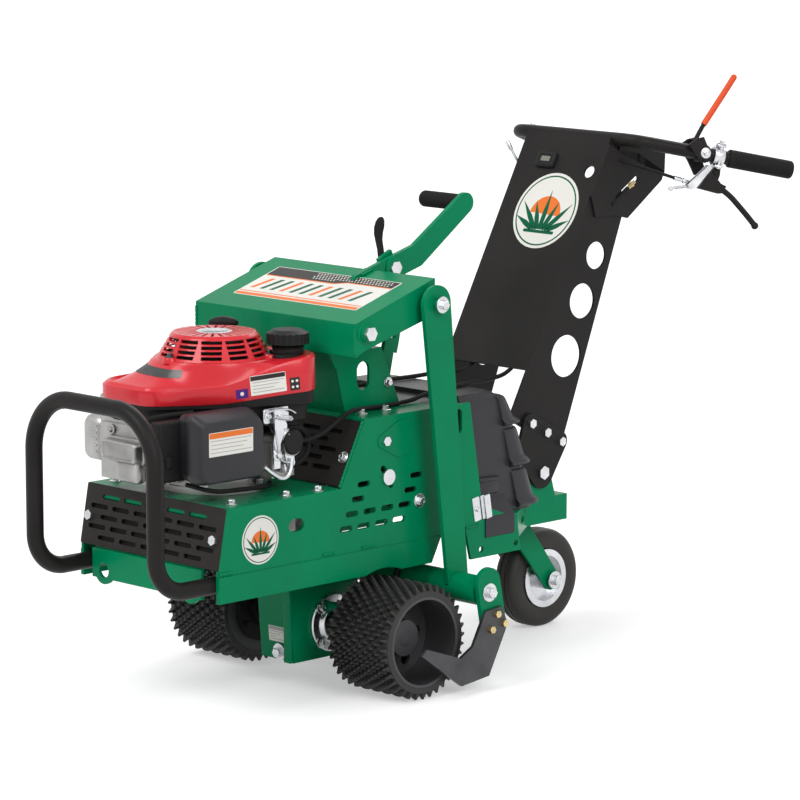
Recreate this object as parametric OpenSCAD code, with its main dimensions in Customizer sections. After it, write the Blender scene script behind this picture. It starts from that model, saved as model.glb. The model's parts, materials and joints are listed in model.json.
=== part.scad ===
// Walk-behind sod cutter: lugged drive drums, a rocking U blade on a depth head, petrol engine, caster, handle.
// X points forward, Y to the operator's left, Z up. The origin is on the ground below the machine's middle.

/* [Drive drums] */
// Radius of a drum over its lugs
drum_r = 102; // [98:0.5:106]
// Distance from the middle of the machine to a drum's inner face
drum_in = 137.5; // [134:0.5:141]
// Width of a drum
drum_w = 144.5; // [138:0.5:146]
// Height of a tread lug
lug_h = 16; // [10:0.5:20]
// Lugs round a drum
lug_count = 22; // [18:1:26]
// Rows of lugs across a drum
lug_rows = 7; // [5:1:8]
// Thickness of the rubber under the lugs
tread_t = 6; // [4:0.5:8]
// Wall of the steel drum
drum_wall = 5; // [3:0.5:8]
// Depth of the open cup in a drum's outer end
drum_recess = 75; // [50:1:95]
// Radius of the drive axle
axle_r = 15; // [12:0.5:17]
// Radius of a hub flange
flange_r = 62; // [50:1:70]
// Width of a hub flange
flange_w = 18; // [12:1:22]

/* [Frame] */
// Distance from the middle of the machine to the outer face of a side plate
frame_half = 178; // [172:0.5:184]
// Thickness of the side plates
plate_t = 6; // [4:0.5:8]
// Reach of the side plates ahead of the axle
frame_front = 386; // [376:1:396]
// Reach of the side plates behind the axle
frame_rear = 145; // [138:1:152]
// Height of the side plates' lower edge
plate_low = 211; // [207:0.5:215]
// Height of the engine deck
deck_z = 372; // [366:1:378]
// Height of the rear deck
rear_deck_z = 487; // [480:1:494]
// Thickness of the decks
deck_t = 6; // [4:0.5:8]
// Clearance between a drum and the arch in the side plates
arch_gap = 15; // [10:0.5:18]
// Thickness of the slotted guards
guard_t = 3; // [2:0.5:4]
// Length of a stamped slot
slot_len = 30; // [24:1:34]
// Width of a stamped slot
slot_w = 10; // [7:0.5:12]

/* [Bumper] */
// Radius of the bumper tube
bumper_r = 15; // [12:0.5:17]
// Distance from the axle to the bumper hoop
bumper_x = 506; // [490:1:520]
// Height of the bumper's top bar
bumper_top = 545; // [530:1:560]
// Radius of the hoop's upper corners
bumper_corner_r = 95; // [80:1:110]
// Radius of the bends at the foot of the hoop
bumper_foot_r = 62; // [50:1:75]

/* [Depth gear] */
// Distance from the axle to the depth head's pivot
head_pivot_x = 68; // [64:0.5:72]
// Height of the depth head's pivot
head_pivot_z = 642; // [638:0.5:646]
// Distance from the head pivot back to the link pins
link_back = 152; // [148:0.5:156]
// Rise from the head pivot to the link pins
link_rise = 38; // [35:0.5:41]
// Half width of the depth head
head_half = 205; // [200:0.5:208]
// Sheet thickness of the depth head
head_t = 5; // [3:0.5:6]
// Radius of the pivot bolts
pivot_r = 8; // [7:0.5:9]
// Radius of the link pins
pin_r = 10; // [8:0.5:11]
// Thickness of a lift link
link_t = 8; // [6:0.5:10]
// Radius of the black grip on the depth lever
lever_grip_r = 15; // [12:0.5:18]
// Length of the black grip on the depth lever
lever_grip_len = 100; // [80:1:115]

/* [Blade] */
// Width between the blade's upright plates, the width of cut
cut_w = 604; // [600:1:614]
// Thickness of the blade plate
blade_t = 7; // [5:0.5:9]
// Radius of the cross tube
tube_r = 26; // [24:0.5:27]
// Wall of the cross tube
tube_wall = 6; // [4:0.5:8]
// Distance from the axle back to the cross tube
tube_back = 138; // [137:0.5:142]
// Height of the cross tube
tube_z = 173; // [171:0.5:176]
// Thickness of a blade arm
arm_t = 9; // [7:0.5:11]

/* [Caster] */
// Radius of the caster tyre
caster_r = 93; // [88:0.5:96]
// Width of the caster tyre
caster_w = 50; // [44:0.5:54]
// Radius of the caster rim
rim_r = 55; // [48:0.5:60]
// Distance from the axle back to the caster's swivel
swivel_back = 498; // [492:1:504]
// Trail of the caster wheel
caster_trail = 77; // [72:1:82]

/* [Engine] */
// Distance from the axle to the crankshaft
crank_x = 232; // [228:1:236]
// Height of the engine above its deck
engine_h = 270; // [264:1:274]
// Radius of the recoil cover's foot
recoil_r = 99; // [95:1:103]
// Radius of the fuel cap
cap_r = 37; // [33:0.5:39]
// Radius of the crankshaft
crank_r = 11; // [9:0.5:13]

/* [Handle] */
// Half width of the handle column
column_half = 105; // [101:0.5:109]
// Lean of the handle column
column_lean = 28.3; // [26:0.1:30]
// Length of the column's front panel
panel_len = 466; // [450:1:480]
// Sheet thickness of the column
column_t = 4; // [3:0.5:5]
// Radius of the handlebar tube
bar_r = 12.5; // [11:0.5:13]
// Half width of the handlebar between its bends
bar_half = 150; // [144:1:156]
// Length of a handlebar leg from its corner
bar_leg = 313; // [305:1:321]
// Outward splay of the handlebar legs
bar_splay = 29; // [26:0.5:32]
// Downward tilt of the handlebar
bar_tilt = 13.2; // [11:0.1:15]
// Radius of a grip
grip_r = 17; // [15:0.5:19]
// Length of a grip
grip_len = 128; // [116:1:132]

/* [Hidden] */
$fn = 48;
// Overrun of every cut
over = 2;
// Radial clearance of a running fit
run_gap = 0.05;
// Gap between faces that pass each other
pass_gap = 1;
// Gap under a piece that rests on another and moves
rest_gap = 0.3;
// Gap under a loose bolt head
bolt_gap = 0.5;
// Facets of a blended outline
blend_fn = 32;

green = [0.0, 0.51, 0.33];
black = [0.13, 0.12, 0.12];
red = [0.84, 0.16, 0.2];
zinc = [0.76, 0.77, 0.78];
aluminium = [0.72, 0.72, 0.7];
dark_steel = [0.27, 0.28, 0.29];
rubber = [0.09, 0.09, 0.09];
orange = [0.89, 0.34, 0.18];

// Side plate outline
plate_in = frame_half - plate_t;
front_lean = 20;
cross_top = 265;
guard_foot = 101;
guard_head = 43;
rear_joint_z = 262;
rear_low_x = 118;
rail_h = 46;
rail_t = 2;
slot_start = [89, 300];
slot_pitch = 42.5;
slot_row_pitch = 24.5;
slot_row_shift = 14.3;
oblong_at = [206, 323];
oblong_len = 36;
oblong_w = 22;
patch_at = [-5, 443];
knob_r = 14;
knob_h = 6;
knob_at = [-10, 379];
knob_slot_len = 48;
knob_slot_w = 12;
knob_slot_turn = 58;

// Front guard and crossplate
guard_gap = 8;
guard_side = 20;
guard_pitch = 44;
guard_rows = 5;
guard_row_pitch = 19;
guard_low = 268;
guard_slot_share = 0.8;
guard_slot_w = guard_slot_share * slot_w;
guard_bolt_y = 161;
guard_bolt_z = 317;
cross_t = 6;
cross_low = 214;
eye_r = 24;
eye_hole_r = 13;
eye_gap = 6;
eye_z = 228;
bumper_z = 240;
bumper_tail = 60;
bumper_y = plate_in - bumper_r;
bumper_flat = bumper_y - bumper_corner_r;
cross_half = bumper_y - bumper_r;
eye_y = cross_half - eye_r - eye_gap;
deck_lip = 22;
deck_hole_r = 54;

// Tower, quadrant and depth gear
head_pivot = [head_pivot_x, head_pivot_z];
link_pin = [head_pivot_x - link_back, head_pivot_z + link_rise];
tube_at = [-tube_back, tube_z];
drag_at = head_pivot + tube_at - link_pin;
tower_half = 110;
tower_t = 6;
tower_front = 26;
tower_brow = 54;
tower_rear = 108;
tower_crown = 62;
tower_h = 108;
tower_hole_len = 50;
tower_hole_w = 30;
tower_hole_x = 18;
tower_hole_up = 62;
ear_r = 15;
head_front = 92;
head_front_z = 660;
head_rear = 100;
head_rear_z = 722;
head_flange = 58;
head_cheek = 64;
head_lip = 16;
boss_r = 15;
boss_len = 8;
link_gap = 6;
pin_over = 12;
link_top_r = 33;
link_inset = 1.2;
link_foot_r = tube_r - link_inset;
lever_y = 40;
lever_t = 10;
clamp_at = [-152, 721];
clamp_r = 6;
clamp_hub_r = 21;
lever_root = [-66, 704];
lever_root_r = 13;
lever_knee = [-212, 738];
lever_top = [-334, 822];
lever_tip_r = 19;
grip_neck_share = 0.7;
lever_knee_r = 21;
quadrant_t = 8;
quadrant_gap = 2;
quadrant_band = 17;
slot_gap = 0.5;
quadrant_start = 154;
quadrant_end = 198;
quadrant_neck = [8, 2];
quadrant_slot = [2, 6];
quadrant_foot = 52;
cam_len = 74;
cam_w = 22;
cam_t = 9;
cam_gap = 1.5;
cam_root_r = 9;
cam_pin_r = 3;
cam_spoon_r = 14;
cam_slot = 14;
arm_pin_r = 8;
drag_y = 96;
drag_t = 10;
drag_h = 8;
drag_over = 4;
drag_eye_r = 13;
drag_ring_r = 35;
ring_gap = 0.5;
clamp_reach = norm(clamp_at - head_pivot);
cam_y = lever_y - quadrant_gap - quadrant_t - cam_gap - cam_root_r;
link_y = head_half + boss_len + link_gap;

// Blade
blade_y = cut_w / 2;
arm_in = blade_y - arm_t;
tube_end = 5;
tube_half = arm_in - tube_end;
rocker_r = 14;
bush_len = 24;
arm_top_r = 28;
arm_rise = 16;
arm_low_r = 28;
arm_low = [-151, 122];
blade_heel = [-132, 26];
blade_sole = [-64, 18];
blade_toe = [33, 86];
blade_toe_top = [21, 97];
blade_back = [-178, 112];
blade_crown = [-164, 146];
blade_shoulder = [-124, 142];
blade_inner = [-92, 84];
blade_inner_low = [-62, 68];
edge_front = 90;
edge_rear = 134;
edge_low = 19;
edge_t = 8;

// Chain case, pump and belt
case_half = 45;
case_front = 98;
case_front_low = 84;
case_rear = 66;
case_top = 250;
case_low = 40;
wing_rear = 60;
wing_len = 140;
wing_z = 226;
wing_t = 8;
case_rib = 6;
case_rib_w = 20;
pulley_r = 42;
pulley_w = 16;
groove_w = 12;
pump_x = 40;
pump_pulley_r = 55;
belt_t = 6;
belt_w = 10;
belt_gap = 0.4;
pump_half = 46;
pump_h = 70;
pump_boss_h = 8;
pump_shaft_r = 9;
pulley_low = case_top + pump_h + pump_boss_h + bolt_gap;
groove_d = 6;

// Drums
tread_r = drum_r - lug_h;
drum_out_r = tread_r - tread_t;
drum_bore_r = drum_out_r - drum_wall;
web_t = 8;
hub_r = 32;
hub_len = 26;
drum_web = drum_in + drum_w - drum_recess - web_t;
axle_half = drum_web + web_t + hub_len;
lug_share = 0.52;
lug_tip_share = 0.62;
lug_row_share = 0.56;
drum_bolt_ring = 50;
drum_bolt_r = 6;
drum_bolt_h = 6;
drum_bolts = 6;
light_hole_r = 11;
light_ring = 52;

// Rear frame, cover and caster
rear_top_x = 215;
rear_waist = [-247, 297];
rear_corner = [-337, 262];
rear_foot = [-347, 202];
rear_toe_x = 219;
rear_inner = [-204, 262];
tow_hole_r = 5.5;
tow_hole_x = 245;
tow_pitch = 89;
tow_hole_z = 217;
window_w = 16;
window_len = 44;
window_at = [-187, 456];
bracket_front = 300;
bracket_bend = 345;
bracket_neck = 440;
bracket_end = 546;
bracket_t = 6;
bracket_z = 270;
bracket_h = 48;
bracket_slot_len = 34;
bracket_slot_w = 12;
ear_low_x = 446;
ear_high_x = 494;
ear_slope = 22;
ear_top = 338;
cover_front = 219;
cover_half = 152;
cover_top = 494;
cover_brow = 318;
cover_shoulder = [-372, 424];
cover_tail = 420;
cover_t = 4;
cover_rib_t = 4;
cover_rib_h = 5;
cover_rib_pitch = 26;
cover_ribs = 5;
fork_top = 214;
fork_crown_t = 10;
fork_crown_r = 46;
fork_leg_t = 6;
fork_gap = 8;
fork_eye_r = 20;
kingpin_r = 12;
kingpin_up = 14;
caster_axle_r = 8;
fork_collar_r = 22;
nut_r = 13;
nut_h = 8;
rim_hub_r = 20;
rim_web = 12;
tyre_round = 14;
caster_at = [-swivel_back - caster_trail, caster_r];

// Handle
column_foot_x = 437;
column_foot_z = 512;
column_drop = 98;
flange_depth = 154;
flange_waist = 99;
flange_waist_up = 350;
flange_crest = 30;
column_hole_at = [[69, 258], [75, 169], [84.5, 62.5]];
column_hole_r = [25.5, 32.5, 39];
foot_t = 6;
foot_bolt_at = [[51, -84], [96, -84], [141, -84]];
foot_pivot = [123, -153];
foot_toe = [62, -138];
foot_toe_r = 30;
foot_bolt_r = 9;
foot_bolt_h = 7;
bar_up = 470;
bar_bend_r = 45;
bend_draw = 0.2;
bend_turn = 90 - bar_splay;
bend_back = bar_bend_r * tan(bend_turn / 2);
panel_hole_r = 12;
panel_hole_at = [82, 395];
meter_at = [-34, 402];
meter_w = 46;
meter_h = 36;
meter_t = 14;
bracket_up = [318, 452];
bracket_reach = 163;
bracket_tip = [111, 352];
bracket_heel = [76, 342];
bracket_brow = 18;
control_t = 4;
control_slot_len = 70;
control_slot_turn = 60;
clamp_grip_gap = 21;
clamp_s = bar_leg - grip_len - clamp_grip_gap;
clamp_len = 22;
clamp_wall = 5;
clamp_drop = 30;
clamp_w = 20;
lever_pin_r = 4;
lever_w = 12;
hand_knee = [38, -16];
hand_tip = [96, -80];
hand_root_r = 11;
hand_knee_r = 8;
hand_tip_r = 6;
drive_gap = 32;
drive_s = clamp_s - drive_gap;
drive_out = 26;
drive_t = 8;
drive_boss_r = 14;
drive_root = [0, 58];
drive_tip = [70, 157];
drive_root_r = 7;
drive_tip_r = 8;

// Engine
base_r = 96;
base_t = 12;
base_ring = 86;
base_bolt_r = 7;
base_bolt_turns = [110, 180, 250];
block_half = 78;
case_r = 78;
neck_r = 60;
block_front = 92;
block_h = 118;
head_y = -54;
barrel_half = 62;
barrel_len = 66;
barrel_low = 26;
barrel_h = 92;
fin_count = 6;
fin_t = 3;
fin_out = 7;
valve_half = 54;
valve_h = 74;
valve_t = 26;
valve_up = 24;
valve_round = 9;
muffler_w = 50;
muffler_x = 300;
muffler_len = 118;
muffler_up = 40;
muffler_h = 84;
muffler_round = 10;
cleaner_y = 84;
cleaner_w = 62;
cleaner_x = 246;
cleaner_len = 150;
cleaner_up = 34;
cleaner_h = 122;
cleaner_round = 16;
carb_x = 176;
carb_r = 22;
carb_reach = 138;
carb_up = 84;
carb_bowl_half = 26;
carb_bowl_y = 78;
carb_bowl_w = 34;
carb_bowl_drop = 62;
tank_x = 128;
tank_len = 58;
tank_half = 96;
tank_shift = 22;
tank_h = 46;
tank_round = 12;
shroud_low = 158;
shroud_h = 70;
shroud_wall = 4;
shroud_nose_x = 400;
shroud_nose_y = -52;
shroud_nose_r = 24;
shroud_nose_half = 52;
shroud_rear_x = 150;
shroud_rear_half = 100;
shroud_rear_r = 30;
shroud_nose_share = 0.6;
shroud_nose_h_share = 0.6;
fan_base_t = 6;
recoil_top_r = 76;
recoil_rim = 12;
recoil_wall = 4;
recoil_rows = 4;
recoil_bays = 12;
recoil_bar_w = 4;
recoil_row_h = 5.6;
recoil_spokes = 24;
recoil_spoke_w = 5;
recoil_spoke_in = 32;
recoil_spoke_len = 36;
flywheel_r = 84;
flywheel_h = 16;
flywheel_up = 190;
fan_count = 14;
fan_h = 16;
fan_t = 4;
fan_in = 50;
cap_x = 156;
cap_y = 104;
cap_h = 24;
cap_up = 252;
cap_neck_r = 20;
cap_dome = 6;
cap_knurls = 20;
cap_knurl_r = 3;
starter_x = 144;
starter_y = -74;
starter_neck = 42;
starter_neck_r = 8;
starter_len = 44;
starter_r = 9;
rope_r = 2;
rope_len = 60;
rope_guide_r = 4;
recoil_h = engine_h - shroud_low - shroud_h;

// Routes of the cables, from end to end
cable_r = 4;
throttle_route = [
    [151.8, 126, 456], [137, 131, 456], [120, 139, 461], [100, 147, 474], [70, 150, 499], [40, 140, 494],
    [0, 124, 491.5], [-60, 120, 491.5], [-130, 112, 492], [-170, 104, 496], [-230, 92, 498.5],
    [-310, 76, 498.5],
    [-380, 66, 500], [-425, 62, 498], [-470, 58, 520], [-500, 56, 580], [-540, 56, 655], [-590, 58, 745],
    [-630, 66, 820], [-655, 80, 862], [-672, 97, 884]
];
drive_route = [
    [-90, -60, 491.5], [-130, -58, 492], [-170, -56, 496], [-230, -54, 498.5], [-310, -50, 498.5],
    [-380, -48, 500], [-425, -46, 498], [-470, -46, 520], [-500, -46, 580], [-540, -48, 655],
    [-590, -52, 745],
    [-630, -62, 820], [-655, -78, 862], [-672, -97, 884]
];
cable_sides = 8;
cable_steps = 3;

// Reach of the whole machine, and the place of the drive axle in it
bar_x = -column_foot_x - sin(column_lean) * bar_up - cos(column_lean) * (column_t + bar_r);
bar_z = column_foot_z + cos(column_lean) * bar_up - sin(column_lean) * (column_t + bar_r);
leg_dir = [-cos(bar_splay) * cos(bar_tilt), sin(bar_splay), -cos(bar_splay) * sin(bar_tilt)];
grip_end_x = bar_x + leg_dir.x * bar_leg;
front_reach = bumper_x + bumper_r;
rear_reach = -grip_end_x + grip_r * sqrt(1 - leg_dir.x * leg_dir.x);
axle_x = (rear_reach - front_reach) / 2;

// Places a piece, drawn from the drive axle's foot on the ground, in the frame of the whole machine.
module machine() {
    translate([axle_x, 0, 0]) children();
}

// The piece and its mirror image on the machine's other side.
module both_sides() {
    children();
    mirror([0, 1, 0]) children();
}

// A plate of thickness t from an outline in X and Z, with its right face at y.
module plate_xz(y, t) {
    translate([0, y + t, 0]) rotate([90, 0, 0]) linear_extrude(t) children();
}

// A round bar across the machine, from y over a length.
module bar_y(at, r, y, len) {
    translate([at.x, y, at.y]) rotate([-90, 0, 0]) cylinder(r = r, h = len);
}

// A slot with round ends, centred, along the first axis.
module slot_2d(len, w) {
    square([len - w, w], center = true);
    translate([(len - w) / 2, 0]) circle(d = w);
    translate([-(len - w) / 2, 0]) circle(d = w);
}

// A strap between two round ends.
module strap(a, ra, b, rb) {
    hull() {
        translate(a) circle(r = ra, $fn = blend_fn);
        translate(b) circle(r = rb, $fn = blend_fn);
    }
}

// A block with round upright edges, from its lowest corner.
module soft_block(size, r) {
    hull() {
        for (x = [r, size.x - r], y = [r, size.y - r]) {
            translate([x, y, 0]) cylinder(r = r, h = size.z, $fn = blend_fn);
        }
    }
}

// A hexagon head with its washer face at the origin, pointing up.
module bolt_head(r, h) {
    cylinder(r = r, h = h, $fn = 6);
}

// The outline of a side plate.
module side_outline() {
    polygon([
        [frame_front, plate_low],
        [frame_front, cross_top],
        [frame_front - front_lean, deck_z],
        [guard_foot, deck_z],
        [guard_head, rear_deck_z],
        [-frame_rear, rear_deck_z],
        [-frame_rear, rear_joint_z],
        [-rear_low_x, plate_low]
    ]);
}

// The stamped openings of a side plate.
module side_openings() {
    for (row = [0 : 3], col = [0 : 3]) {
        if (row < 2 || col == 0 || col == 3) {
            translate([
                slot_start.x - col * slot_pitch - row * slot_row_shift,
                slot_start.y + row * slot_row_pitch
            ]) slot_2d(slot_len, slot_w);
        }
    }
    translate(oblong_at) slot_2d(oblong_len, oblong_w);
    translate(knob_at) rotate(knob_slot_turn) slot_2d(knob_slot_len, knob_slot_w);
}

// A left side plate with its lower rail.
module side_plate() {
    color(green) machine() difference() {
        union() {
            plate_xz(plate_in, plate_t) side_outline();
            plate_xz(frame_half, rail_t) intersection() {
                side_outline();
                translate([-frame_front, plate_low]) square([2 * frame_front, rail_h]);
            }
        }
        plate_xz(plate_in - over, plate_t + rail_t + 2 * over) side_openings();
        bar_y([0, drum_r], drum_r + arch_gap, plate_in - over, plate_t + rail_t + 2 * over);
    }
}

module side_plate_left() {
    side_plate();
}

module side_plate_right() {
    mirror([0, 1, 0]) side_plate();
}

// Where the front edge of the side plates lies at a height above the crossplate.
function front_edge(z) = frame_front - front_lean * (z - cross_top) / (deck_z - cross_top);

module engine_deck() {
    color(green) machine() difference() {
        union() {
            translate([guard_foot, -plate_in, deck_z - deck_t])
                cube([front_edge(deck_z) - guard_foot, 2 * plate_in, deck_t]);
            plate_xz(-plate_in, 2 * plate_in) polygon([
                [front_edge(deck_z), deck_z],
                [front_edge(deck_z - deck_lip), deck_z - deck_lip],
                [front_edge(deck_z - deck_lip) - deck_t, deck_z - deck_lip],
                [front_edge(deck_z) - deck_t, deck_z]
            ]);
        }
        translate([crank_x, 0, deck_z - deck_t - over]) cylinder(r = deck_hole_r, h = deck_t + 2 * over);
    }
}

module front_crossplate() {
    color(green) machine() difference() {
        translate([frame_front, 0, 0]) rotate([90, 0, 90]) linear_extrude(cross_t) union() {
            translate([-cross_half, cross_low]) square([2 * cross_half, cross_top - cross_low]);
            for (side = [-1, 1]) translate([side * eye_y, eye_z]) circle(r = eye_r);
        }
        for (side = [-1, 1]) {
            translate([frame_front - over, side * eye_y, eye_z]) rotate([0, 90, 0])
                cylinder(r = eye_hole_r, h = cross_t + 2 * over);
        }
    }
}

// Rows of slots, shifted by half a pitch on every other row, on a panel of a half width.
module slot_rows(rows, row_pitch, half, pitch, len, w) {
    count = floor((half - len) / pitch);
    for (row = [0 : rows - 1], col = [-count : count]) {
        shift = row % 2 == 0 ? 0 : pitch / 2;
        if (abs(col * pitch + shift) + len / 2 < half) {
            translate([col * pitch + shift, row * row_pitch]) slot_2d(len, w);
        }
    }
}

module front_guard() {
    lean = atan(front_lean / (deck_z - cross_top));
    color(black) machine()
    translate([front_edge(guard_low), 0, guard_low]) rotate([0, -lean, 0]) rotate([90, 0, 90])
    linear_extrude(guard_t) difference() {
        translate([-frame_half, 0]) square([2 * frame_half, (deck_z - guard_low) / cos(lean)]);
        translate([0, guard_row_pitch / 2 + guard_gap / 2])
            slot_rows(guard_rows, guard_row_pitch, frame_half - guard_side, guard_pitch, slot_len, guard_slot_w);
    }
}

// A quarter bend of tube about the origin, from the first axis to the second.
module tube_bend(bend, r, turn) {
    rotate_extrude(angle = turn) translate([bend, 0]) circle(r = r);
}

module bumper_bar() {
    color(black) machine() union() {
        both_sides() {
            translate([frame_front - bumper_tail, bumper_y, bumper_z]) rotate([0, 90, 0])
                cylinder(r = bumper_r, h = bumper_x - bumper_foot_r - frame_front + bumper_tail);
            translate([bumper_x - bumper_foot_r, bumper_y, bumper_z + bumper_foot_r])
                rotate([90, 0, 0]) rotate(-90) tube_bend(bumper_foot_r, bumper_r, 90);
            translate([bumper_x, bumper_y, bumper_z + bumper_foot_r])
                cylinder(r = bumper_r, h = bumper_top - bumper_corner_r - bumper_z - bumper_foot_r);
            translate([bumper_x, bumper_y - bumper_corner_r, bumper_top - bumper_corner_r])
                rotate([90, 0, 90]) tube_bend(bumper_corner_r, bumper_r, 90);
        }
        bar_y([bumper_x, bumper_top], bumper_r, -bumper_flat, 2 * bumper_flat);
    }
}

module rear_guard() {
    lean = atan((guard_foot - guard_head) / (rear_deck_z - deck_z));
    run = (rear_deck_z - deck_t - deck_z) / cos(lean);
    color(black) machine()
    translate([guard_foot, 0, deck_z]) rotate([0, -lean, 0]) rotate([90, 0, 90])
    translate([0, 0, -guard_t]) linear_extrude(guard_t) difference() {
        translate([-plate_in, guard_t]) square([2 * plate_in, run - guard_t]);
        translate([0, guard_row_pitch])
            slot_rows(guard_rows, guard_row_pitch, plate_in - guard_side, guard_pitch, slot_len, guard_slot_w);
    }
}

module rear_deck() {
    color(green) machine() translate([-frame_rear, -plate_in, rear_deck_z - deck_t])
        cube([frame_rear + guard_head, 2 * plate_in, deck_t]);
}

// The side wall of the lift tower with its ear for the head's pivot bolt.
module tower_wall() {
    difference() {
        union() {
            polygon([
                [tower_front, rear_deck_z],
                [tower_brow, rear_deck_z + tower_h],
                [-tower_crown, rear_deck_z + tower_h],
                [-tower_rear, rear_deck_z]
            ]);
            strap(head_pivot, ear_r, [tower_brow - ear_r, rear_deck_z + tower_h - ear_r], ear_r);
        }
        translate([-tower_hole_x, rear_deck_z + tower_hole_up]) {
            rotate(90) slot_2d(tower_hole_len, tower_hole_w);
        }
    }
}

module tower() {
    color(green) machine() difference() {
        union() {
            both_sides() plate_xz(tower_half - tower_t, tower_t) tower_wall();
            plate_xz(-tower_half + tower_t, 2 * (tower_half - tower_t)) polygon([
                [tower_front, rear_deck_z],
                [tower_brow, rear_deck_z + tower_h],
                [-tower_crown, rear_deck_z + tower_h],
                [-tower_crown, rear_deck_z + tower_h - tower_t],
                [tower_brow - tower_t, rear_deck_z + tower_h - tower_t],
                [tower_front - tower_t, rear_deck_z]
            ]);
        }
        bar_y(head_pivot, pivot_r + run_gap, -tower_half - over, 2 * (tower_half + over));
    }
}

// A band along an arc about the head's pivot.
module pivot_band(half, start, end) {
    translate(head_pivot) difference() {
        intersection() {
            circle(r = clamp_reach + half, $fn = 4 * blend_fn);
            polygon([
                [0, 0],
                2 * clamp_reach * [cos(start), sin(start)],
                2 * clamp_reach * [cos((start + end) / 2), sin((start + end) / 2)],
                2 * clamp_reach * [cos(end), sin(end)]
            ]);
        }
        circle(r = clamp_reach - half, $fn = 4 * blend_fn);
    }
}

module depth_quadrant() {
    neck_in = quadrant_end - quadrant_neck.x;
    neck_out = quadrant_end - quadrant_neck.y;
    rest = atan2(clamp_at.y - head_pivot.y, clamp_at.x - head_pivot.x);
    color(green) machine() plate_xz(lever_y - quadrant_gap - quadrant_t, quadrant_t) difference() {
        union() {
            pivot_band(quadrant_band, quadrant_start, quadrant_end);
            polygon([
                [-frame_rear, rear_deck_z],
                [-frame_rear + quadrant_foot, rear_deck_z],
                head_pivot + (clamp_reach - quadrant_band / 2) * [cos(neck_in), sin(neck_in)],
                head_pivot + (clamp_reach + quadrant_band / 2) * [cos(neck_out), sin(neck_out)]
            ]);
        }
        pivot_band(clamp_r + slot_gap, rest - quadrant_slot.x, quadrant_end - quadrant_slot.y);
    }
}

// A rear frame plate with its window and the two holes for a hitch.
module rear_frames() {
    color(green) machine() both_sides() difference() {
        plate_xz(plate_in, plate_t) difference() {
            polygon([
                [-frame_rear, rear_deck_z],
                [-rear_top_x, rear_deck_z],
                rear_waist,
                rear_corner,
                rear_foot,
                [-rear_toe_x, rear_foot.y],
                rear_inner,
                [-frame_rear, rear_joint_z]
            ]);
            translate(window_at) rotate(90) slot_2d(window_len, window_w);
        }
        for (i = [0, 1]) {
            bar_y([-tow_hole_x - i * tow_pitch, tow_hole_z], tow_hole_r, plate_in - over, plate_t + 2 * over);
        }
    }
}

// The caster bracket's outline from above, drawn in by a wall.
module bracket_plan(wall) {
    half = plate_in - wall;
    neck = column_half - wall;
    front = over * sign(wall) - bracket_front;
    polygon([
        [front, half], [-bracket_bend, half], [-bracket_neck, neck], [-bracket_end + wall, neck],
        [-bracket_end + wall, -neck], [-bracket_neck, -neck], [-bracket_bend, -half], [front, -half]
    ]);
}

module caster_bracket() {
    turn = atan2(plate_in - column_half, bracket_neck - bracket_bend);
    color(green) machine() difference() {
        union() {
            translate([0, 0, bracket_z - bracket_t]) linear_extrude(bracket_t) bracket_plan(0);
            translate([0, 0, bracket_z - bracket_h]) linear_extrude(bracket_h) difference() {
                bracket_plan(0);
                bracket_plan(bracket_t);
            }
            both_sides() plate_xz(column_half - bracket_t, bracket_t) polygon([
                [-ear_low_x, bracket_z - bracket_t],
                [-ear_low_x, ear_top],
                [-ear_high_x, ear_top],
                [-ear_high_x - ear_slope, bracket_z - bracket_t]
            ]);
        }
        both_sides() translate([-(bracket_bend + bracket_neck) / 2, (plate_in + column_half) / 2,
            bracket_z - bracket_h / 2]) rotate(turn) rotate([90, 0, 0])
            linear_extrude(6 * bracket_t, center = true) slot_2d(bracket_slot_len, bracket_slot_w);
        translate([-swivel_back, 0, bracket_z - bracket_h])
            cylinder(r = kingpin_r + run_gap, h = bracket_h + over);
    }
}

// The rear cover's side outline, drawn in by a wall and run out past its open front and foot.
module cover_outline(wall, run) {
    polygon([
        [-cover_front + run, bracket_z - run],
        [-cover_front + run, cover_top - wall],
        [-cover_brow, cover_top - wall],
        [cover_shoulder.x + wall, cover_shoulder.y],
        [wall - cover_tail, bracket_z],
        [wall - cover_tail, bracket_z - run]
    ]);
}

module rear_cover() {
    color(black) machine() union() {
        difference() {
            plate_xz(-cover_half, 2 * cover_half) cover_outline(0, 0);
            plate_xz(-cover_half + cover_t, 2 * (cover_half - cover_t)) cover_outline(cover_t, over);
        }
        both_sides() for (i = [1 : cover_ribs]) {
            translate([cover_shoulder.x, cover_half, bracket_z + i * cover_rib_pitch])
                cube([cover_rib_pitch, cover_rib_h, cover_rib_t]);
        }
    }
}

// Places children in the column's own frame: depth to the rear on the first axis, up the panel on the second.
module column_side(y, t) {
    translate([-column_foot_x, y + t, column_foot_z]) rotate([90, -column_lean, 0]) mirror([1, 0, 0])
        linear_extrude(t) children();
}

// A bolt head on the outside of a column plate, at a place in the column's own frame.
module column_bolt(at, y, r, h) {
    translate([-column_foot_x, y, column_foot_z]) rotate([0, -column_lean, 0])
        translate([-at.x, 0, at.y]) rotate([-90, 0, 0]) bolt_head(r, h);
}

module handle_feet() {
    color(black) machine() both_sides() column_side(column_half, foot_t) hull() {
        for (at = [foot_bolt_at[0], foot_bolt_at[2], foot_toe]) {
            translate(at) circle(r = 2 * foot_bolt_r, $fn = blend_fn);
        }
        translate(foot_pivot) circle(r = foot_toe_r, $fn = blend_fn);
    }
}

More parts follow.
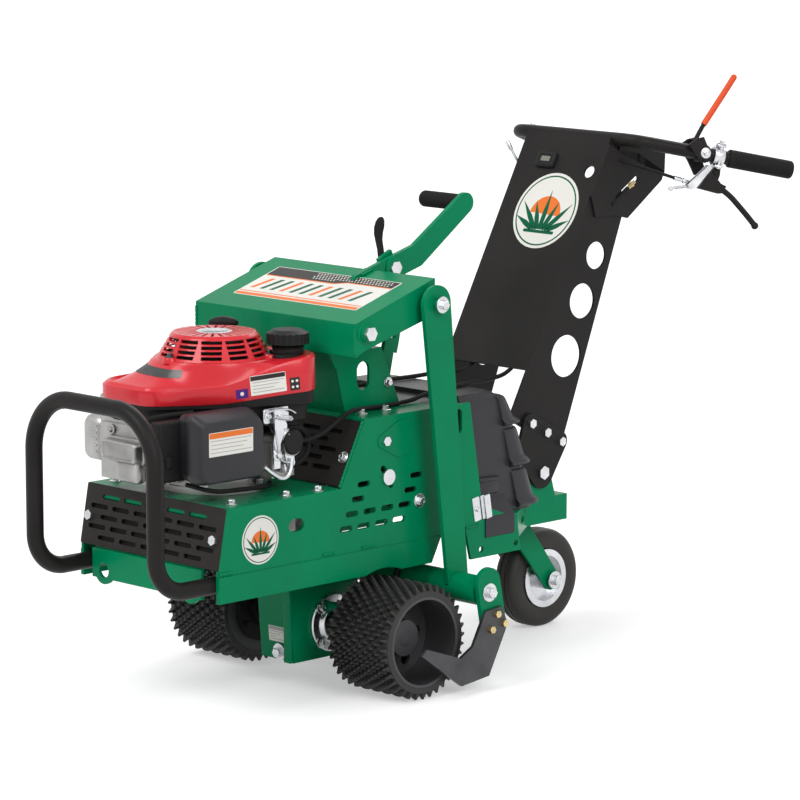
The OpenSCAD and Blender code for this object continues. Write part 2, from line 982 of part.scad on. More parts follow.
module handle_column() {
    color(black) machine() difference() {
        union() {
            both_sides() column_side(column_half - column_t, column_t) difference() {
                polygon([
                    [0, -column_drop],
                    [flange_depth, -column_drop],
                    [flange_waist, flange_waist_up],
                    [flange_crest, panel_len],
                    [0, panel_len]
                ]);
                for (i = [0 : 2]) translate(column_hole_at[i]) circle(r = column_hole_r[i]);
            }
            column_side(-column_half + column_t / 2, 2 * column_half - column_t) square([column_t, panel_len]);
        }
        translate([bar_x, 0, bar_z]) rotate([90, 0, 0])
            cylinder(r = bar_r, h = 2 * (column_half + over), center = true);
        translate([-column_foot_x, 0, column_foot_z]) rotate([0, -column_lean, 0])
            translate([-column_t - over, panel_hole_at.x, panel_hole_at.y]) rotate([0, 90, 0])
            cylinder(r = panel_hole_r, h = column_t + 2 * over);
    }
}

// Places children in the plane of the handlebar, at the middle of its cross bar.
module bar_plane() {
    translate([bar_x, 0, bar_z]) rotate([0, -bar_tilt, 0]) children();
}

// Places children on the left leg: along the leg on the first axis, up on the third.
module leg_frame() {
    bar_plane() translate([0, bar_half, 0]) rotate(180 - bar_splay) children();
}

module handlebar() {
    color(black) machine() union() {
        both_sides() {
            leg_frame() translate([bend_back, 0, 0]) rotate([0, 90, 0])
                cylinder(r = bar_r, h = bar_leg - bend_back - clamp_wall);
            bar_plane() translate([-bar_bend_r, bar_half - bend_back, 0])
                tube_bend(bar_bend_r, bar_r - bend_draw, bend_turn);
        }
        bar_plane() translate([0, -bar_half + bend_back, 0]) rotate([-90, 0, 0])
            cylinder(r = bar_r, h = 2 * (bar_half - bend_back));
    }
}

module handlebar_grips() {
    color(rubber) machine() both_sides() leg_frame() translate([bar_leg - grip_len, 0, 0]) rotate([0, 90, 0])
    difference() {
        cylinder(r = grip_r, h = grip_len);
        translate([0, 0, -over]) cylinder(r = bar_r, h = grip_len - clamp_wall + over);
    }
}

module control_bracket() {
    slot_up = (bracket_up.x + bracket_up.y + flange_crest) / 2;
    color(black) machine() column_side(column_half, control_t) difference() {
        polygon([
            [flange_crest, bracket_up.x],
            [0, bracket_up.x + flange_crest],
            [0, bracket_up.y],
            [flange_crest, bracket_up.y],
            [bracket_heel.x, bracket_up.y + bracket_brow],
            [bracket_reach, bracket_up.y + bracket_brow],
            [bracket_reach, bracket_up.y],
            bracket_tip,
            bracket_heel
        ]);
        translate([bracket_reach / 2, slot_up]) rotate(control_slot_turn) slot_2d(control_slot_len, slot_w);
    }
}

module hour_meter() {
    color(black) machine() translate([-column_foot_x, 0, column_foot_z]) rotate([0, -column_lean, 0])
        translate([0, meter_at.x - meter_w / 2, meter_at.y - meter_h / 2])
        translate([meter_t, 0, 0]) rotate([0, -90, 0]) soft_block([meter_h, meter_w, meter_t], cover_rib_t);
}

// A clamp on a handlebar leg with a fork for a hand lever.
module lever_clamp() {
    leg_frame() difference() {
        union() {
            translate([clamp_s, 0, 0]) rotate([0, 90, 0])
                cylinder(r = bar_r + clamp_wall, h = clamp_len, center = true);
            translate([clamp_s - clamp_len / 2, -clamp_w / 2, -clamp_drop - hand_root_r])
                cube([clamp_len, clamp_w, clamp_drop + hand_root_r - bar_r]);
        }
        translate([clamp_s, 0, 0]) rotate([0, 90, 0])
            cylinder(r = bar_r, h = clamp_len + 2 * over, center = true);
        translate([clamp_s - clamp_len, -(lever_w + pass_gap) / 2, -clamp_drop - 2 * hand_root_r])
            cube([2 * clamp_len, lever_w + pass_gap, 3 * hand_root_r + pass_gap]);
        translate([clamp_s, 0, -clamp_drop]) rotate([90, 0, 0])
            cylinder(r = lever_pin_r, h = 2 * clamp_w, center = true);
    }
}

module lever_clamps() {
    color(zinc) machine() union() {
        both_sides() lever_clamp();
        leg_frame() translate([drive_s, 0, 0]) difference() {
            union() {
                rotate([0, 90, 0]) cylinder(r = bar_r + clamp_wall, h = clamp_len, center = true);
                rotate([-90, 0, 0]) cylinder(r = drive_boss_r / 2, h = drive_out - bolt_gap);
                rotate([-90, 0, 0]) cylinder(r = lever_pin_r, h = drive_out + drive_t + pass_gap);
            }
            rotate([0, 90, 0]) cylinder(r = bar_r, h = clamp_len + 2 * over, center = true);
        }
    }
}

// A hand lever from its pin, pointing along the leg and down.
module hand_lever_outline() {
    strap([0, 0], hand_root_r, hand_knee, hand_knee_r);
    strap(hand_knee, hand_knee_r, hand_tip, hand_tip_r);
}

module hand_lever() {
    color(black) machine() leg_frame() translate([clamp_s, 0, -clamp_drop]) union() {
        plate_xz(-lever_w / 2, lever_w) hand_lever_outline();
        rotate([90, 0, 0]) cylinder(r = lever_pin_r - run_gap, h = clamp_w, center = true);
    }
}

module hand_lever_left() {
    hand_lever();
}

module hand_lever_right() {
    mirror([0, 1, 0]) hand_lever();
}

module drive_lever() {
    color(orange) machine() leg_frame() translate([drive_s, 0, 0]) difference() {
        plate_xz(drive_out, drive_t) union() {
            strap([0, 0], drive_boss_r, drive_root, drive_root_r);
            strap(drive_root, drive_root_r, drive_tip, drive_tip_r);
        }
        bar_y([0, 0], lever_pin_r + run_gap, drive_out - over, drive_t + 2 * over);
    }
}

// The round crankcase that the tank and the carburettor fit against.
module crankcase() {
    translate([crank_x, 0, deck_z]) cylinder(r = case_r, h = base_t + block_h);
}

// The engine shroud's plan, drawn in by a wall.
module shroud_plan(wall) {
    hull() {
        translate([crank_x, 0]) circle(r = recoil_r + recoil_rim - wall, $fn = 2 * blend_fn);
        for (side = [-1, 1]) {
            translate([shroud_nose_x - shroud_nose_r, shroud_nose_y + side * shroud_nose_half])
                circle(r = shroud_nose_r - wall, $fn = blend_fn);
            translate([shroud_rear_x, tank_shift + side * shroud_rear_half])
                circle(r = shroud_rear_r - wall, $fn = blend_fn);
        }
    }
}

module engine_block() {
    color(aluminium) machine() difference() {
        union() {
            translate([crank_x, 0, deck_z]) cylinder(r = base_r, h = base_t);
            crankcase();
            translate([crank_x, -block_half, deck_z + base_t])
                cube([block_front, block_half + cleaner_y, block_h]);
            translate([crank_x + block_front, head_y - barrel_half, deck_z + barrel_low])
                cube([barrel_len, 2 * barrel_half, barrel_h]);
            for (i = [0 : fin_count - 1]) {
                translate([
                    crank_x + block_front + i * barrel_len / fin_count + fin_t,
                    head_y - barrel_half - fin_out,
                    deck_z + barrel_low - fin_out
                ]) cube([fin_t, 2 * (barrel_half + fin_out), barrel_h + 2 * fin_out]);
            }
            translate([crank_x, 0, deck_z + base_t + block_h])
                cylinder(r = neck_r, h = shroud_low - base_t - block_h);
            translate([0, 0, deck_z + shroud_low]) linear_extrude(fan_base_t) shroud_plan(shroud_wall);
        }
        translate([crank_x, 0, deck_z - over]) cylinder(r = crank_r + run_gap, h = engine_h);
        translate([cap_x, cap_y, deck_z + shroud_low - over])
            cylinder(r = cap_neck_r + pass_gap, h = fan_base_t + 2 * over);
    }
}

module valve_cover() {
    color(aluminium) machine()
        translate([crank_x + block_front + barrel_len, head_y - valve_half, deck_z + valve_up])
        rotate([90, 0, 90]) soft_block([2 * valve_half, valve_h, valve_t], valve_round);
}

module muffler() {
    color(zinc) machine()
        translate([muffler_x, head_y - barrel_half - fin_out, deck_z + muffler_up]) rotate([90, 0, 0])
        soft_block([muffler_len, muffler_h, muffler_w], muffler_round);
}

module air_cleaner() {
    color(black) machine() translate([cleaner_x, cleaner_y + cleaner_w, deck_z + cleaner_up])
        rotate([90, 0, 0])
        soft_block([cleaner_len, cleaner_h, cleaner_w], cleaner_round);
}

module carburettor() {
    color(aluminium) machine() difference() {
        union() {
            bar_y([carb_x, deck_z + carb_up], carb_r, 0, carb_reach);
            translate([carb_x - carb_bowl_half, carb_bowl_y, deck_z + carb_up - carb_bowl_drop])
                cube([2 * carb_bowl_half, carb_bowl_w, carb_bowl_drop]);
        }
        crankcase();
    }
}

module fuel_tank() {
    color(black) machine() difference() {
        union() {
            translate([tank_x, tank_shift - tank_half, deck_z + shroud_low - tank_h])
                soft_block([tank_len, 2 * tank_half, tank_h], tank_round);
            translate([cap_x, cap_y, deck_z + shroud_low - tank_h])
                cylinder(r = cap_neck_r, h = cap_up - shroud_low + tank_h);
        }
        translate([crank_x, 0, deck_z]) cylinder(r = case_r + pass_gap, h = engine_h);
    }
}

// The engine shroud's form, drawn in by a wall: a round fan housing, a low nose and a tank fairing.
module shroud_form(wall) {
    hull() {
        translate([crank_x, 0, 0]) cylinder(
            r1 = recoil_r + recoil_rim - wall, r2 = recoil_r + recoil_wall - wall,
            h = shroud_h - wall, $fn = 2 * blend_fn);
        for (side = [-1, 1]) {
            translate([shroud_nose_x - shroud_nose_r, shroud_nose_y + side * shroud_nose_half, 0]) cylinder(
                r1 = shroud_nose_r - wall, r2 = shroud_nose_share * (shroud_nose_r - wall),
                h = shroud_nose_h_share * (shroud_h - wall), $fn = blend_fn);
            translate([shroud_rear_x, tank_shift + side * shroud_rear_half, 0])
                cylinder(r = shroud_rear_r - wall, h = shroud_h - wall, $fn = blend_fn);
        }
    }
}

module engine_shroud() {
    color(red) machine() translate([0, 0, deck_z + shroud_low]) difference() {
        shroud_form(0);
        translate([0, 0, -over]) linear_extrude(fan_base_t + over) shroud_plan(shroud_wall);
        shroud_form(shroud_wall);
        translate([crank_x, 0, shroud_h / 2]) cylinder(r = recoil_r - recoil_rim, h = shroud_h);
        translate([starter_x, starter_y, shroud_h / 2]) cylinder(r = rope_guide_r, h = shroud_h);
        translate([cap_x, cap_y, shroud_h / 2]) cylinder(r = cap_neck_r + pass_gap, h = shroud_h);
    }
}

// The recoil cover: a cone of slotted bays under a spoked crown.
module recoil_cover() {
    step = recoil_h / (recoil_rows + 1);
    color(red) machine() translate([crank_x, 0, deck_z + shroud_low + shroud_h]) difference() {
        rotate_extrude($fn = 2 * blend_fn) polygon([
            [recoil_r, 0],
            [recoil_top_r, recoil_h - recoil_wall],
            [recoil_top_r - recoil_wall, recoil_h],
            [0, recoil_h],
            [0, recoil_h - recoil_wall],
            [recoil_top_r - 2 * recoil_wall, recoil_h - recoil_wall],
            [recoil_r - recoil_wall, 0]
        ]);
        for (bay = [0 : recoil_bays - 1], row = [0 : recoil_rows - 1]) {
            reach = 2 * recoil_top_r * sin(180 / recoil_bays) - recoil_bar_w;
            rotate((2 * bay + 1) * 180 / recoil_bays)
                translate([recoil_top_r - 3 * recoil_wall, -reach / 2, (2 * row + 1) * step / 2])
                cube([recoil_r, reach, recoil_row_h]);
        }
        for (i = [0 : recoil_spokes - 1]) {
            rotate(i * 360 / recoil_spokes)
                translate([recoil_spoke_in, -recoil_spoke_w / 2, recoil_h - 2 * recoil_wall])
                cube([recoil_spoke_len, recoil_spoke_w, 3 * recoil_wall]);
        }
    }
}

module chain_case() {
    color(green) machine() difference() {
        union() {
            plate_xz(-case_half, 2 * case_half) polygon([
                [case_front, case_top],
                [case_front, plate_low],
                [case_front_low, case_low],
                [-case_rear, case_low],
                [-case_rear, case_top]
            ]);
            plate_xz(case_half - case_rib_w, case_rib_w) polygon([
                [case_front, case_top],
                [case_front + case_rib, case_top],
                [case_front + case_rib, plate_low],
                [case_front_low + case_rib, case_low],
                [case_front_low, case_low],
                [case_front, plate_low]
            ]);
            bar_y(drag_at, arm_pin_r, -drag_y - drag_t - drag_over, 2 * (drag_y + drag_t + drag_over));
            translate([-wing_rear, -plate_in, wing_z]) cube([wing_len, 2 * plate_in, wing_t]);
        }
        bar_y([0, drum_r], axle_r + run_gap, -case_half - over, 2 * (case_half + over));
    }
}

module hydro_pump() {
    color(aluminium) machine() translate([pump_x, 0, case_top]) difference() {
        union() {
            translate([-pump_half, -pump_half, 0]) cube([2 * pump_half, 2 * pump_half, pump_h]);
            translate([0, 0, pump_h]) cylinder(r = 2 * pump_shaft_r, h = pump_boss_h);
        }
        translate([0, 0, pump_h / 2]) cylinder(r = pump_shaft_r + run_gap, h = pump_h);
    }
}

// A grooved pulley on a bore, from its lower face.
module pulley(r, bore) {
    groove = r - groove_d;
    lip = (pulley_w - groove_w) / 2;
    rotate_extrude() polygon([
        [bore, 0], [r, 0], [r, lip], [groove, lip], [groove, pulley_w - lip],
        [r, pulley_w - lip], [r, pulley_w], [bore, pulley_w]
    ]);
}

module drive_belt() {
    color(rubber) machine() translate([0, 0, pulley_low + (pulley_w - belt_w) / 2]) linear_extrude(belt_w)
    difference() {
        strap([crank_x, 0], pulley_r - groove_d + belt_gap + belt_t,
            [pump_x, 0], pump_pulley_r - groove_d + belt_gap + belt_t);
        strap([crank_x, 0], pulley_r - groove_d + belt_gap, [pump_x, 0], pump_pulley_r - groove_d + belt_gap);
    }
}

module frame_bolts() {
    lean = atan(front_lean / (deck_z - cross_top));
    color(zinc) machine() {
        both_sides() {
            bar_y(head_pivot, pivot_r, tower_half - tower_t - nut_h,
                head_half + boss_len + bolt_gap - tower_half + tower_t + nut_h);
            translate([head_pivot.x, head_half + boss_len + bolt_gap, head_pivot.y]) rotate([-90, 0, 0])
                bolt_head(nut_r, nut_h);
            translate([head_pivot.x, tower_half - tower_t - nut_h, head_pivot.y]) rotate([-90, 0, 0])
                bolt_head(nut_r, nut_h);
            for (at = foot_bolt_at) column_bolt(at, column_half + foot_t, foot_bolt_r, foot_bolt_h);
            column_bolt(foot_pivot, column_half + foot_t, nut_r, foot_bolt_h);
            translate([front_edge(guard_bolt_z), guard_bolt_y, guard_bolt_z]) rotate([0, 90 - lean, 0])
                translate([0, 0, guard_t]) bolt_head(foot_bolt_r, foot_bolt_h);
            bar_y(knob_at, knob_r, frame_half, knob_h);
            translate([patch_at.x, frame_half, patch_at.y]) rotate([-90, 0, 0])
                bolt_head(foot_bolt_r, foot_bolt_h);
        }
        for (turn = base_bolt_turns) {
            translate([crank_x, 0, deck_z + base_t]) rotate(turn) translate([base_ring, 0, 0])
                bolt_head(base_bolt_r, foot_bolt_h);
        }
    }
}

// A point on a smooth curve through four points of a route, at a share of the middle stretch.
function route_point(a, b, c, d, share) = 0.5 * (
    2 * b + (c - a) * share + (2 * a - 5 * b + 4 * c - d) * share * share
    + (3 * b - a - 3 * c + d) * share * share * share
);

// A route with extra points on every stretch.
function smooth_route(route, steps) = let (last = len(route) - 1) concat(
    [for (i = [0 : last - 1], k = [0 : steps - 1])
        route_point(route[max(i - 1, 0)], route[i], route[i + 1], route[min(i + 2, last)], k / steps)],
    [route[last]]
);

// The direction of a route at a point.
function route_dir(route, i) =
    let (step = route[min(i + 1, len(route) - 1)] - route[max(i - 1, 0)]) step / norm(step);

// A round cable along a route.
module cable(route, r) {
    points = smooth_route(route, cable_steps);
    count = len(points);
    rings = [for (i = [0 : count - 1])
        let (
            along = route_dir(points, i),
            side = cross(along, [0, 1, 0.2]),
            first = side / norm(side),
            second = cross(along, first)
        )
        for (k = [0 : cable_sides - 1])
            points[i] + r * (first * cos(k * 360 / cable_sides) + second * sin(k * 360 / cable_sides))
    ];
    walls = [for (i = [0 : count - 2], k = [0 : cable_sides - 1])
        let (
            a = i * cable_sides + k,
            b = i * cable_sides + (k + 1) % cable_sides
        )
        each [[a, b, b + cable_sides], [a, b + cable_sides, a + cable_sides]]
    ];
    front = [for (k = [1 : cable_sides - 2]) [0, k + 1, k]];
    base = (count - 1) * cable_sides;
    back = [for (k = [1 : cable_sides - 2]) [base, base + k, base + k + 1]];
    polyhedron(points = rings, faces = [for (f = concat(walls, front, back)) [f[2], f[1], f[0]]]);
}

module control_cables() {
    color(rubber) machine() {
        cable(throttle_route, cable_r);
        cable(drive_route, cable_r);
    }
}

module crankshaft() {
    color(dark_steel) machine() translate([crank_x, 0, pulley_low])
        cylinder(r = crank_r, h = deck_z + flywheel_up + flywheel_h - pulley_low);
}

module flywheel_fan() {
    color(aluminium) machine() translate([crank_x, 0, deck_z + flywheel_up]) {
        difference() {
            union() {
                cylinder(r = flywheel_r, h = flywheel_h);
                for (i = [0 : fan_count - 1]) {
                    rotate(i * 360 / fan_count) translate([fan_in, -fan_t / 2, flywheel_h / 2])
                        cube([flywheel_r - fan_in - fan_t, fan_t, flywheel_h / 2 + fan_h]);
                }
            }
            translate([0, 0, -over]) cylinder(r = crank_r, h = flywheel_h + 2 * over);
        }
    }
}

module drive_pulley() {
    color(dark_steel) machine() translate([crank_x, 0, pulley_low]) pulley(pulley_r, crank_r);
}

module pump_pulley() {
    color(dark_steel) machine() translate([pump_x, 0, pulley_low]) {
        pulley(pump_pulley_r, 0);
        translate([0, 0, -pump_h / 3]) cylinder(r = pump_shaft_r, h = pump_h / 3 + pulley_w);
    }
}

module drive_axle() {
    color(dark_steel) machine() bar_y([0, drum_r], axle_r, -axle_half, 2 * axle_half);
}

// A left drum: closed at its inner end, with a cup and a drilled web at its outer end.
module drum() {
    centre = [0, drum_r];
    difference() {
        union() {
            difference() {
                bar_y(centre, drum_out_r, drum_in, drum_w);
                bar_y(centre, drum_bore_r, drum_in + web_t, drum_w);
            }
            bar_y(centre, drum_bore_r + drum_wall / 2, drum_web, web_t);
            bar_y(centre, hub_r, drum_in, drum_web + web_t + hub_len - drum_in);
        }
        bar_y(centre, axle_r, drum_in - over, drum_w);
        for (i = [0 : drum_bolts - 1]) {
            angle = i * 360 / drum_bolts;
            bar_y(centre + light_ring * [cos(angle), sin(angle)], light_hole_r, drum_web - over,
                web_t + 2 * over);
        }
    }
}

module drums() {
    color(dark_steel) machine() both_sides() drum();
}

// A ring of tapered lugs, cut square at both faces.
module lug_ring(turn) {
    pitch = 360 / lug_count;
    root = pitch * lug_share / 2;
    tip = root * lug_tip_share;
    polygon([for (i = [0 : lug_count - 1]) each [
        (tread_r - tread_t / 2) * [cos(i * pitch + turn - root), sin(i * pitch + turn - root)],
        drum_r * [cos(i * pitch + turn - tip), sin(i * pitch + turn - tip)],
        drum_r * [cos(i * pitch + turn + tip), sin(i * pitch + turn + tip)],
        (tread_r - tread_t / 2) * [cos(i * pitch + turn + root), sin(i * pitch + turn + root)]
    ]]);
}

// A left tread: a rubber sleeve with rows of lugs, each row half a lug further round.
module drum_tread() {
    pitch = drum_w / lug_rows;
    difference() {
        union() {
            bar_y([0, drum_r], tread_r, drum_in, drum_w);
            for (row = [0 : lug_rows - 1]) {
                translate([0, drum_in + (row + 0.5) * pitch, drum_r]) rotate([90, 0, 0])
                    linear_extrude(lug_row_share * pitch, center = true)
                    lug_ring(row % 2 * 180 / lug_count);
            }
        }
        bar_y([0, drum_r], drum_out_r, drum_in - over, drum_w + 2 * over);
    }
}

module drum_treads() {
    color(rubber) machine() both_sides() drum_tread();
}

module hub_flanges() {
    color(black) machine() both_sides() {
        difference() {
            union() {
                bar_y([0, drum_r], flange_r, drum_in - flange_w / 2, flange_w / 2);
                bar_y([0, drum_r], hub_r, drum_in - flange_w, flange_w);
            }
            bar_y([0, drum_r], axle_r, drum_in - flange_w - over, flange_w + 2 * over);
        }
        for (i = [0 : drum_bolts - 1]) {
            angle = (i + 0.5) * 360 / drum_bolts;
            translate([0, drum_in - flange_w / 2, drum_r])
            translate(drum_bolt_ring * [cos(angle), 0, sin(angle)])
                rotate([90, 0, 0]) bolt_head(drum_bolt_r, drum_bolt_h);
        }
    }
}

// The height of the depth head's top at a place along it.
function head_top(x) =
    head_front_z + (head_front - x) * (head_rear_z - head_front_z) / (head_front + head_rear);

module depth_head() {
    color(green) machine() difference() {
        union() {
            plate_xz(-head_half, 2 * head_half) polygon([
                [head_front, head_front_z],
                [-head_rear, head_rear_z],
                [-head_rear, head_rear_z - head_lip],
                [head_t - head_rear, head_rear_z - head_lip],
                [head_t - head_rear, head_top(head_t - head_rear) - head_t],
                [head_front - head_t, head_top(head_front - head_t) - head_t],
                [head_front - head_t, head_front_z - head_flange],
                [head_front, head_front_z - head_flange]
            ]);
            both_sides() {
                plate_xz(head_half - head_t, head_t) polygon([
                    [head_front, head_front_z],
                    [-head_rear, head_rear_z],
                    [-head_rear, head_rear_z - head_cheek],
                    [head_pivot_x, head_pivot_z - 2 * boss_r],
                    [head_front, head_front_z - head_flange]
                ]);
                bar_y(head_pivot, boss_r, head_half - head_t, head_t + boss_len);
                bar_y(link_pin, boss_r, head_half - head_t, head_t + boss_len);
                bar_y(link_pin, pin_r, head_half, boss_len + link_gap + link_t + pin_over);
            }
        }
        bar_y(head_pivot, pivot_r + run_gap, -head_half - boss_len - over, 2 * (head_half + boss_len + over));
        plate_xz(lever_y, lever_t) lever_outline();
    }
}

// The outline of the depth lever, from its root in the head over the clamp to its grip.
module lever_outline() {
    strap(lever_root, lever_root_r, clamp_at, clamp_hub_r);
    strap(clamp_at, lever_knee_r, lever_knee, lever_knee_r);
    strap(lever_knee, lever_knee_r, lever_top, lever_tip_r);
}

module depth_lever() {
    color(green) machine() difference() {
        plate_xz(lever_y, lever_t) lever_outline();
        bar_y(clamp_at, clamp_r, lever_y - over, lever_t + 2 * over);
    }
}

module lever_grip() {
    color(rubber) machine() translate([lever_top.x, lever_y, lever_top.y]) rotate([90, 0, 0])
    rotate_extrude() polygon([
        [0, 0],
        [lever_grip_r * grip_neck_share, 0],
        [lever_grip_r, lever_grip_r],
        [lever_grip_r, lever_grip_len - lever_grip_r / 2],
        [lever_grip_r * grip_neck_share, lever_grip_len],
        [0, lever_grip_len]
    ]);
}

module clamp_bolt() {
    color(zinc) machine() union() {
        bar_y(clamp_at, clamp_r, cam_y - clamp_r, lever_y + lever_t + nut_h - cam_y + clamp_r);
        translate([clamp_at.x, lever_y + lever_t, clamp_at.y]) rotate([-90, 0, 0]) bolt_head(nut_r, nut_h);
        translate([clamp_at.x - cam_w / 2, cam_y, clamp_at.y]) rotate([0, 90, 0])
            cylinder(r = cam_pin_r, h = cam_w);
    }
}

module cam_lever() {
    color(black) machine() translate([clamp_at.x, cam_y, clamp_at.y]) difference() {
        union() {
            rotate([0, 90, 0]) cylinder(r = cam_root_r, h = cam_w, center = true);
            plate_xz(-cam_t / 2, cam_t) union() {
                translate([-cam_w / 2, 0]) square([cam_w, cam_len / 2]);
                strap([0, cam_len / 2], cam_w / 2, [0, cam_len], cam_spoon_r);
            }
        }
        rotate([0, 90, 0]) cylinder(r = cam_pin_r + run_gap, h = cam_w + 2 * over, center = true);
        translate([-clamp_r - pass_gap, -2 * cam_root_r, -2 * cam_root_r])
            cube([2 * (clamp_r + pass_gap), 4 * cam_root_r, 2 * cam_root_r + cam_slot]);
    }
}

module lift_links() {
    color(green) machine() both_sides() difference() {
        plate_xz(link_y, link_t) strap(link_pin, link_top_r, tube_at, link_foot_r);
        bar_y(link_pin, pin_r + run_gap, link_y - over, link_t + 2 * over);
        bar_y(tube_at, tube_r, link_y - over, link_t + 2 * over);
    }
}

module cross_tube() {
    color(green) machine() difference() {
        bar_y(tube_at, tube_r, -tube_half, 2 * tube_half);
        bar_y(tube_at, rocker_r + run_gap, -tube_half - over, 2 * (tube_half + over));
        bar_y(tube_at, tube_r - tube_wall, -tube_half + bush_len, 2 * (tube_half - bush_len));
    }
}

module drag_arms() {
    color(dark_steel) machine() both_sides() difference() {
        plate_xz(drag_y, drag_t) union() {
            strap(drag_at, drag_eye_r, tube_at, drag_h);
            translate(tube_at) circle(r = drag_ring_r);
        }
        bar_y(drag_at, arm_pin_r + run_gap, drag_y - over, drag_t + 2 * over);
        bar_y(tube_at, tube_r + ring_gap, drag_y - over, drag_t + 2 * over);
    }
}

module rocker_shaft() {
    color(dark_steel) machine() bar_y(tube_at, rocker_r, -blade_y, 2 * blade_y);
}

module blade_arms() {
    arm_top = tube_at + [0, arm_rise];
    color(green) machine() both_sides() difference() {
        plate_xz(arm_in, arm_t) strap(arm_top, arm_top_r, arm_low, arm_low_r);
        bar_y(tube_at, rocker_r, arm_in - over, arm_t + 2 * over);
    }
}

module sod_blade() {
    color(dark_steel) machine() union() {
        both_sides() plate_xz(blade_y, blade_t) polygon([
            blade_crown, blade_shoulder, blade_inner, blade_inner_low, blade_toe_top, blade_toe,
            blade_sole, blade_heel, blade_back
        ]);
        plate_xz(-blade_y, 2 * blade_y) polygon([
            [-edge_front, edge_low],
            [-edge_front - edge_t, edge_low + edge_t],
            [-edge_rear + edge_t / 2, edge_low + edge_t + edge_t / 2],
            [-edge_rear, edge_low + edge_t]
        ]);
    }
}

module caster_fork() {
    color(green) machine() union() {
        translate([-swivel_back, 0, fork_top - fork_crown_t]) cylinder(r = fork_crown_r, h = fork_crown_t);
        translate([-swivel_back, 0, fork_top])
            cylinder(r = fork_collar_r, h = bracket_z - bracket_t - fork_top - bolt_gap);
        translate([-swivel_back, 0, fork_top])
            cylinder(r = kingpin_r, h = bracket_z + bolt_gap - fork_top);
        translate([-swivel_back, 0, bracket_z + bolt_gap]) bolt_head(fork_collar_r, kingpin_up);
        both_sides() plate_xz(caster_w / 2 + fork_gap, fork_leg_t)
            strap([-swivel_back, fork_top - fork_crown_r / 2], fork_crown_r / 2, caster_at, fork_eye_r);
        bar_y(caster_at, caster_axle_r, -caster_w / 2 - fork_gap - fork_leg_t - nut_h,
            caster_w + 2 * (fork_gap + fork_leg_t + nut_h));
        both_sides() translate([caster_at.x, caster_w / 2 + fork_gap + fork_leg_t, caster_at.y])
            rotate([-90, 0, 0])
            bolt_head(nut_r, nut_h);
    }
}

module caster_rim() {
    hub = caster_w / 2 + fork_gap - pass_gap;
    color(zinc) machine() translate([caster_at.x, 0, caster_at.y]) rotate([90, 0, 0])
        rotate_extrude() polygon([
        [caster_axle_r + run_gap, -hub], [rim_hub_r, -hub], [rim_hub_r, -rim_web],
        [rim_r - rim_web, -rim_web],
        [rim_r - rim_web, -caster_w / 2], [rim_r, -caster_w / 2], [rim_r, caster_w / 2],
        [rim_r - rim_web, caster_w / 2], [rim_r - rim_web, rim_web], [rim_hub_r, rim_web], [rim_hub_r, hub],
        [caster_axle_r + run_gap, hub]
    ]);
}

module caster_tyre() {
    color(rubber) machine() translate([caster_at.x, 0, caster_at.y]) rotate([90, 0, 0])
        rotate_extrude($fn = 2 * blend_fn)
    union() {
        translate([rim_r, -caster_w / 2]) square([caster_r - rim_r - tyre_round, caster_w]);
        translate([rim_r, -caster_w / 2 + tyre_round]) square([caster_r - rim_r, caster_w - 2 * tyre_round]);
        for (side = [-1, 1]) {
            translate([caster_r - tyre_round, side * (caster_w / 2 - tyre_round)]) circle(r = tyre_round);
        }
    }
}

module fuel_cap() {
    color(black) machine() translate([cap_x, cap_y, deck_z + cap_up + rest_gap]) difference() {
        union() {
            cylinder(r = cap_r, h = cap_h - cap_dome);
            translate([0, 0, cap_h - cap_dome]) cylinder(r1 = cap_r, r2 = cap_r - 2 * cap_dome, h = cap_dome);
        }
        for (i = [0 : cap_knurls - 1]) {
            rotate(i * 360 / cap_knurls) translate([cap_r + cap_knurl_r / 2, 0, -over])
                cylinder(r = cap_knurl_r, h = cap_h + 2 * over, $fn = blend_fn / 2);
        }
    }
}

module starter_grip() {
    color(black) machine() 
    translate([starter_x, starter_y, deck_z + shroud_low + shroud_h + rest_gap]) union() {
        translate([0, 0, -rope_len]) cylinder(r = rope_r, h = rope_len + starter_neck);
        cylinder(r1 = starter_neck_r, r2 = starter_r, h = starter_neck);
        translate([0, 0, starter_neck]) rotate([90, 0, 0])
            cylinder(r = starter_r, h = starter_len, center = true);
    }
}

side_plate_left();
side_plate_right();
engine_deck();
front_crossplate();
front_guard();
bumper_bar();
rear_guard();
rear_deck();
tower();
depth_quadrant();
rear_frames();
caster_bracket();
rear_cover();
handle_feet();
handle_column();
handlebar();
handlebar_grips();
control_bracket();
hour_meter();
lever_clamps();
engine_block();
valve_cover();
muffler();
air_cleaner();
carburettor();
fuel_tank();
engine_shroud();
recoil_cover();
chain_case();
hydro_pump();
drive_belt();
frame_bolts();
control_cables();
crankshaft();
flywheel_fan();
drive_pulley();
pump_pulley();
drive_axle();
drums();
drum_treads();
hub_flanges();
depth_head();
depth_lever();
lever_grip();
clamp_bolt();
cam_lever();
lift_links();
cross_tube();
drag_arms();
rocker_shaft();
blade_arms();
sod_blade();
caster_fork();
caster_rim();
caster_tyre();
hand_lever_left();
hand_lever_right();
drive_lever();
fuel_cap();
starter_grip();
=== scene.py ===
# %% [markdown]
# # Dressing a walk-behind sod cutter
# The machine cuts turf free of the soil: lugged drums push it, and a U-shaped blade behind them rocks under
# the grass. Its steel, joints and sizes come from a CAD model, which is loaded here as a fixed frame. This
# lesson adds what a CAD model lacks: finishes, moulded forms, fasteners, hoses and light.

# %% Load the frame
import json
import math

import bmesh
import bpy
from mathutils import Matrix, Vector


